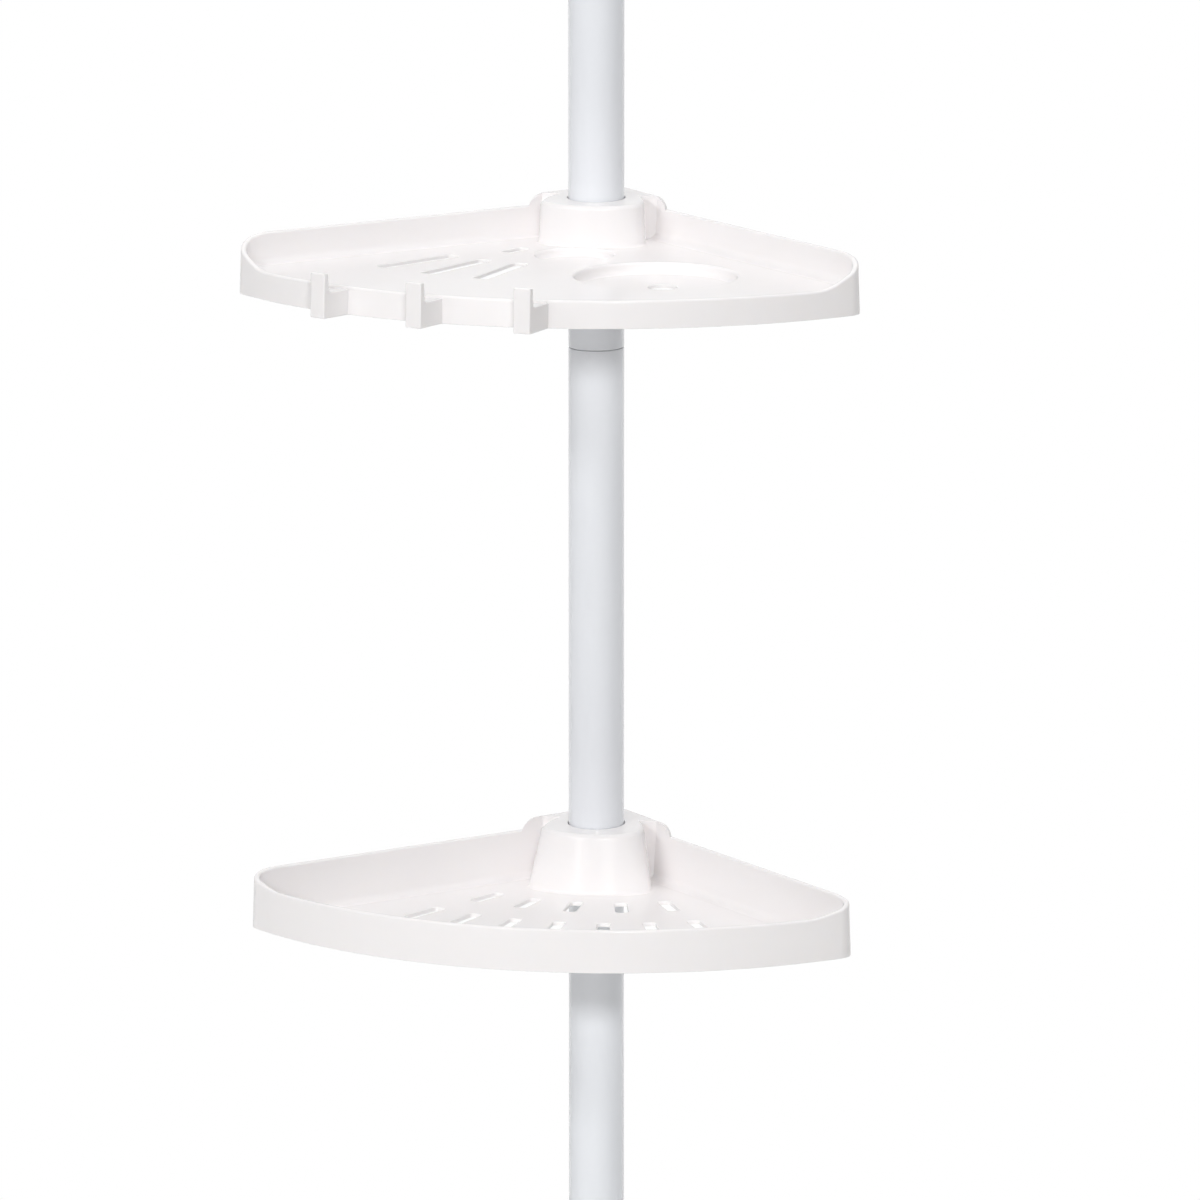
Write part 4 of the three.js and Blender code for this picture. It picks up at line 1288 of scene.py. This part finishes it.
@dataclass
class TensionPole:
    """The pole: three plugged sections, the extension, the sprung plunger and the rubber feet."""

    diameter: float = 25.4
    extension_diameter: float = 22.2
    stem_diameter: float = 15.9
    spigot: float = 45.0
    total: float = 2024.0
    crimp_degrees: float = -96.7
    slide_gap: float = 0.3
    mouth_round: float = 0.4
    # Rubber foot, which is also the ceiling pad.
    foot_radius: float = 24.0
    foot_edge: float = 3.5
    foot_flat: float = 14.5
    foot_top: float = 9.7
    foot_fullness: float = 1.3
    foot_steps: int = 14
    sole_round: float = 0.5
    sole_groove: tuple[Pair, ...] = (
        (15, 0), (15.2, 0.2), (15.2, 1.0), (15.4, 1.2), (17.6, 1.2), (17.8, 1.0), (17.8, 0.2), (18, 0),
    )
    stud_radius: float = 5.3
    stud_depth: float = 3.5
    # Collar at the mouth of the upper section.
    collar_wall: float = 2.2
    collar_rise: float = 6.0
    collar_depth: float = 20.0
    collar_edge: float = 0.5
    collar_round: float = 1.5
    collar_ribs: int = 30
    collar_sides: int = 240
    rib_depth: float = 0.35
    rib_start: float = 2.0
    rib_rings: int = 12
    # Bush at the mouth of the extension.
    bush_depth: float = 25.0
    bush_flange: float = 4.0
    bush_overhang: float = 1.0
    bush_round: float = 1.0
    bush_lead: float = 0.5
    bush_inset: float = 1.1

    def foot_profile(self) -> Section:
        """Section of the rubber foot: ringed sole, rounded edge, domed top and blind stud hole.

        Returns:
            Pairs of radius and height.
        """
        dome = []
        for i in range(self.foot_steps):
            angle = math.radians(90 * i / self.foot_steps)
            width = math.cos(angle) ** self.foot_fullness
            reach = self.foot_flat + (self.foot_radius - self.foot_flat) * width
            dome.append((reach, self.foot_edge + (self.foot_top - self.foot_edge) * math.sin(angle)))
        edge = self.sole_round
        return [
            (0, 0),
            *self.sole_groove,
            *arc(self.foot_radius - edge, edge, edge, 270, 360, 4),
            *dome,
            (self.foot_flat, self.foot_top),
            (self.stud_radius, self.foot_top),
            (self.stud_radius, self.stud_depth),
            (0, self.stud_depth),
        ]

    def collar_profile(self) -> Section:
        """Section of the collar that guides the extension at the mouth of the upper section.

        Returns:
            Pairs of radius and height.
        """
        mouth, gap = height_of("upper_tube", top=True), self.slide_gap
        inner, guide = self.diameter / 2 + gap, self.extension_diameter / 2 + gap
        outer, top, bottom = inner + self.collar_wall, mouth + self.collar_rise, mouth - self.collar_depth
        edge, bend, lip = self.collar_edge, self.collar_round, self.mouth_round
        low, length = bottom + self.rib_start, self.collar_depth - self.rib_start
        return [
            (inner, bottom),
            *arc(outer - edge, bottom + edge, edge, 270, 360, 3),
            *[(outer, low + length * i / self.rib_rings) for i in range(self.rib_rings + 1)],
            *arc(outer - bend, top - bend, bend, 0, 90, 5),
            *arc(guide + lip, top - lip, lip, 90, 180, 3),
            (guide, mouth + gap),
            (inner, mouth + gap),
        ]

    def bush_profile(self) -> Section:
        """Section of the bush that guides the plunger at the top of the extension tube.

        Returns:
            Pairs of radius and height.
        """
        mouth, gap = height_of("extension_tube", top=True), self.slide_gap
        bore, plug = self.stem_diameter / 2 + gap, self.extension_diameter / 2 - self.bush_inset
        flange, low = self.extension_diameter / 2 + self.bush_overhang, mouth + gap
        bottom, top = mouth - self.bush_depth, low + self.bush_flange
        lead, bend, lip = self.bush_lead, self.bush_round, self.mouth_round
        return [
            (bore, bottom),
            (plug - lead, bottom),
            (plug, bottom + lead),
            (plug, low),
            *arc(flange - lip, low + lip, lip, 270, 360, 3),
            *arc(flange - bend, top - bend, bend, 0, 90, 5),
            *arc(bore + lip, top - lip, lip, 90, 180, 3),
        ]

    def build(self) -> None:
        """Make every visible piece of the pole, and the spring inside it."""
        for node, crimp in (("lower_tube", None), ("middle_tube", self.crimp_degrees)):
            PoleTube(node, self.diameter, spigot=self.spigot, crimp_degrees=crimp).build()
        PoleTube("upper_tube", self.diameter).build()
        PoleTube("extension_tube", self.extension_diameter).build()
        PoleTube("plunger_stem", self.stem_diameter, sides=96).build()
        mouth = height_of("upper_tube", top=True)
        ribs_low = mouth - self.collar_depth + self.rib_start
        TurnedFitting(
            "tube_collar", "white_plastic", self.collar_profile(), ribs=self.collar_ribs,
            rib_height=-self.rib_depth, rib_band=(ribs_low - HAIR, mouth + HAIR),
            rib_from=self.diameter / 2 + self.collar_wall, sides=self.collar_sides,
        ).build()
        TurnedFitting("top_bush", "white_plastic", self.bush_profile()).build()
        TurnedFitting("floor_foot", "rubber", self.foot_profile()).build()
        TurnedFitting("ceiling_pad", "rubber", self.foot_profile(), flipped_in=self.total).build()
        TensionSpring().build()


# Studio


@dataclass(frozen=True)
class Lamp:
    """A rectangular soft lamp.

    Attributes:
        name: The lamp's name.
        azimuth: Its angle from straight in front, positive to the right, in degrees.
        reach: Its level distance from the pole, in metres.
        height: Its height in metres.
        size: Width and height of its face in metres.
        power: Its power in watts.
        aim: Height on the pole that it faces, in metres.
        mirrored: Whether glossy surfaces mirror it.
    """

    name: str
    azimuth: float
    reach: float
    height: float
    size: Pair
    power: float
    aim: float = 0.95
    mirrored: bool = True

    def hang(self) -> None:
        """Hang the lamp round the pole and turn its face to the shelves."""
        data = bpy.data.lights.new(self.name, "AREA")
        data.shape = "RECTANGLE"
        data.size, data.size_y = self.size
        data.energy = self.power
        lamp = bpy.data.objects.new(self.name, data)
        bpy.context.collection.objects.link(lamp)
        around = math.radians(self.azimuth)
        lamp.location = (self.reach * math.sin(around), -self.reach * math.cos(around), self.height)
        facing = Vector((0, SHELVES_Y, self.aim)) - lamp.location
        lamp.rotation_euler = facing.to_track_quat("-Z", "Y").to_euler()
        lamp.visible_glossy = self.mirrored


@dataclass
class Studio:
    """Camera, lamps, white surroundings and the floor under the pole's foot."""

    camera_distance: float = 3800.0
    camera_azimuth: float = 11.838
    camera_rise: float = 629.7
    pitch: float = 11.664
    yaw: float = 0.025
    lens: float = 255.117
    ambient: float = 0.03
    ceiling_glow: float = 0.93
    glow_from: float = 0.45
    glow_to: float = 0.85
    floor_radius: float = 2600.0
    floor_sides: int = 96
    floor_cloud: float = 120.0
    fade_start: float = 0.35
    fade_share: float = 0.8
    near_glow: float = 0.35
    lamps: tuple[Lamp, ...] = (
        Lamp("key_left", -15, 3.3, 1.95, (0.9, 0.25), 19.5),
        Lamp("key_right", 15, 3.3, 1.95, (0.4, 0.25), 30.3),
        Lamp("left_fill", -40, 2.7, 2.45, (0.8, 0.3), 12.3),
        Lamp("strip", -19, 2.4, 1.25, (0.12, 0.5), 1.6),
        Lamp("right_top", 80, 1.6, 2.6, (1.0, 1.0), 3.0),
        Lamp("overhead", 160, 0.15, 3.1, (1.6, 1.6), 5.9, aim=0.9),
        Lamp("back_left", -145, 3.0, 1.2, (0.9, 0.9), 13.0, mirrored=False),
        Lamp("back_right", 145, 3.0, 1.2, (0.9, 0.9), 13.0, mirrored=False),
    )

    def add_camera(self) -> None:
        """Stand the camera where the photograph was taken from."""
        data = bpy.data.cameras.new("camera")
        camera = bpy.data.objects.new("camera", data)
        bpy.context.collection.objects.link(camera)
        data.sensor_width = 36
        data.lens = self.lens
        data.clip_start, data.clip_end = 0.1, 60
        around = math.radians(self.camera_azimuth)
        height = height_of("upper_shelf") + self.camera_rise
        camera.location = Vector((
            self.camera_distance * math.sin(around), -self.camera_distance * math.cos(around), height,
        )) * MM
        aim, down = around - math.radians(self.yaw), math.radians(self.pitch)
        forward = Vector((-math.sin(aim) * math.cos(down), math.cos(aim) * math.cos(down), -math.sin(down)))
        camera.rotation_euler = forward.to_track_quat("-Z", "Y").to_euler()
        bpy.context.scene.camera = camera

    def add_surroundings(self) -> None:
        """Light the object softly from a pale ceiling, and show white behind it."""
        world = bpy.data.worlds.new("surroundings")
        bpy.context.scene.world = world
        tree = empty_tree(world)
        rays = add_node(tree, "ShaderNodeLightPath")
        seen = rays.outputs["Is Camera Ray"]
        for ray in ("Is Glossy Ray", "Is Transmission Ray"):
            links = {0: seen, 1: rays.outputs[ray]}
            seen = add_node(tree, "ShaderNodeMath", links=links, operation="MAXIMUM").outputs["Value"]
        place = add_node(tree, "ShaderNodeTexCoord").outputs["Generated"]
        rise = add_node(tree, "ShaderNodeSeparateXYZ", links={0: place}).outputs["Z"]
        glow = add_node(
            tree, "ShaderNodeMapRange",
            {
                "From Min": self.glow_from,
                "From Max": self.glow_to,
                "To Min": self.ambient,
                "To Max": self.ceiling_glow,
            },
            {"Value": rise}, interpolation_type="SMOOTHSTEP",
        ).outputs["Result"]
        soft = add_node(tree, "ShaderNodeBackground", {"Color": linear("#FFFFFF")}, {"Strength": glow})
        white = add_node(tree, "ShaderNodeBackground", {"Color": linear("#FFFFFF"), "Strength": 1.0})
        mix = add_node(
            tree, "ShaderNodeMixShader",
            links={0: seen, 1: soft.outputs["Background"], 2: white.outputs["Background"]},
        )
        add_node(tree, "ShaderNodeOutputWorld", links={"Surface": mix.outputs["Shader"]})

    def add_floor(self) -> None:
        """Lay a pale floor that takes the pole's shadow and fades to white."""
        ring = arc(0, 0, self.floor_radius, 0, 360, self.floor_sides)[:-1]
        floor = Shell([(x, y, 0.0) for x, y in ring], [tuple(range(len(ring)))]).make("studio_floor")
        material = bpy.data.materials.new("pale_floor")
        tree = empty_tree(material)
        place = add_node(tree, "ShaderNodeTexCoord").outputs["Object"]
        away = add_node(tree, "ShaderNodeVectorMath", links={0: place}, operation="LENGTH")
        values = {"Scale": pattern_scale(self.floor_cloud), "Detail": 2.0}
        grain = add_node(tree, "ShaderNodeTexNoise", values, {"Vector": place})
        tone = add_node(
            tree, "ShaderNodeMix", {"A": linear("#F7F7F6"), "B": linear("#F2F2F1")},
            {"Factor": grain.outputs["Fac"]}, data_type="RGBA",
        )
        paint = add_node(tree, "ShaderNodeBsdfDiffuse", links={"Color": tone.outputs["Result"]})
        glow = add_node(tree, "ShaderNodeEmission", {"Color": linear("#FFFFFF"), "Strength": 1.0})
        rays = add_node(tree, "ShaderNodeLightPath")
        fade = add_node(
            tree, "ShaderNodeMapRange",
            {
                "From Min": self.fade_start,
                "From Max": self.floor_radius * MM * self.fade_share,
                "To Min": self.near_glow,
                "To Max": 1.0,
            },
            {"Value": away.outputs["Value"]}, interpolation_type="SMOOTHSTEP",
        )
        shown = add_node(
            tree, "ShaderNodeMath",
            links={0: fade.outputs["Result"], 1: rays.outputs["Is Camera Ray"]}, operation="MULTIPLY",
        )
        mix = add_node(
            tree, "ShaderNodeMixShader",
            links={0: shown.outputs["Value"], 1: paint.outputs["BSDF"], 2: glow.outputs["Emission"]},
        )
        add_node(tree, "ShaderNodeOutputMaterial", links={"Surface": mix.outputs["Shader"]})
        floor.data.materials.append(material)

    def build(self) -> None:
        """Set up the whole studio."""
        self.add_camera()
        self.add_surroundings()
        for lamp in self.lamps:
            lamp.hang()
        self.add_floor()
        bpy.context.scene.view_settings.view_transform = "Standard"


def finish_hidden_nodes() -> None:
    """Give every CAD node that still shows the material of its slot."""
    slots = {row["node"]: row["material_slot"] for row in frame["record"]["subparts"]}
    for name, thing in frame["nodes"].items():
        material = SLOT_FINISHES[slots[name]].material
        thing.data.materials.clear()
        thing.data.materials.append(material)
        LOG.info("%s: %s", name, material.name)


def main() -> None:
    """Build the studio and dress the whole object."""
    logging.basicConfig(level=logging.INFO, format="%(message)s")
    Studio().build()
    finish_hidden_nodes()
    UpperTray(
        node="upper_shelf", front_y=-169.6, front_radius=188.6, floor_top=11.8, floor_thickness=1.5,
        lip_top=12.4, back_relief=7.6, boss_top_diameter=46.7, boss_floor_diameter=48.1, hub_half_width=31.7,
    ).build()
    LowerTray(
        node="lower_shelf", front_y=-159.3, front_radius=200.5, floor_top=3.6, floor_thickness=1.8,
        lip_top=19.4, back_relief=0, boss_top_diameter=46.4, boss_floor_diameter=56.4, hub_half_width=34.8,
    ).build()
    TensionPole().build()


if __name__ == "__main__":
    main()
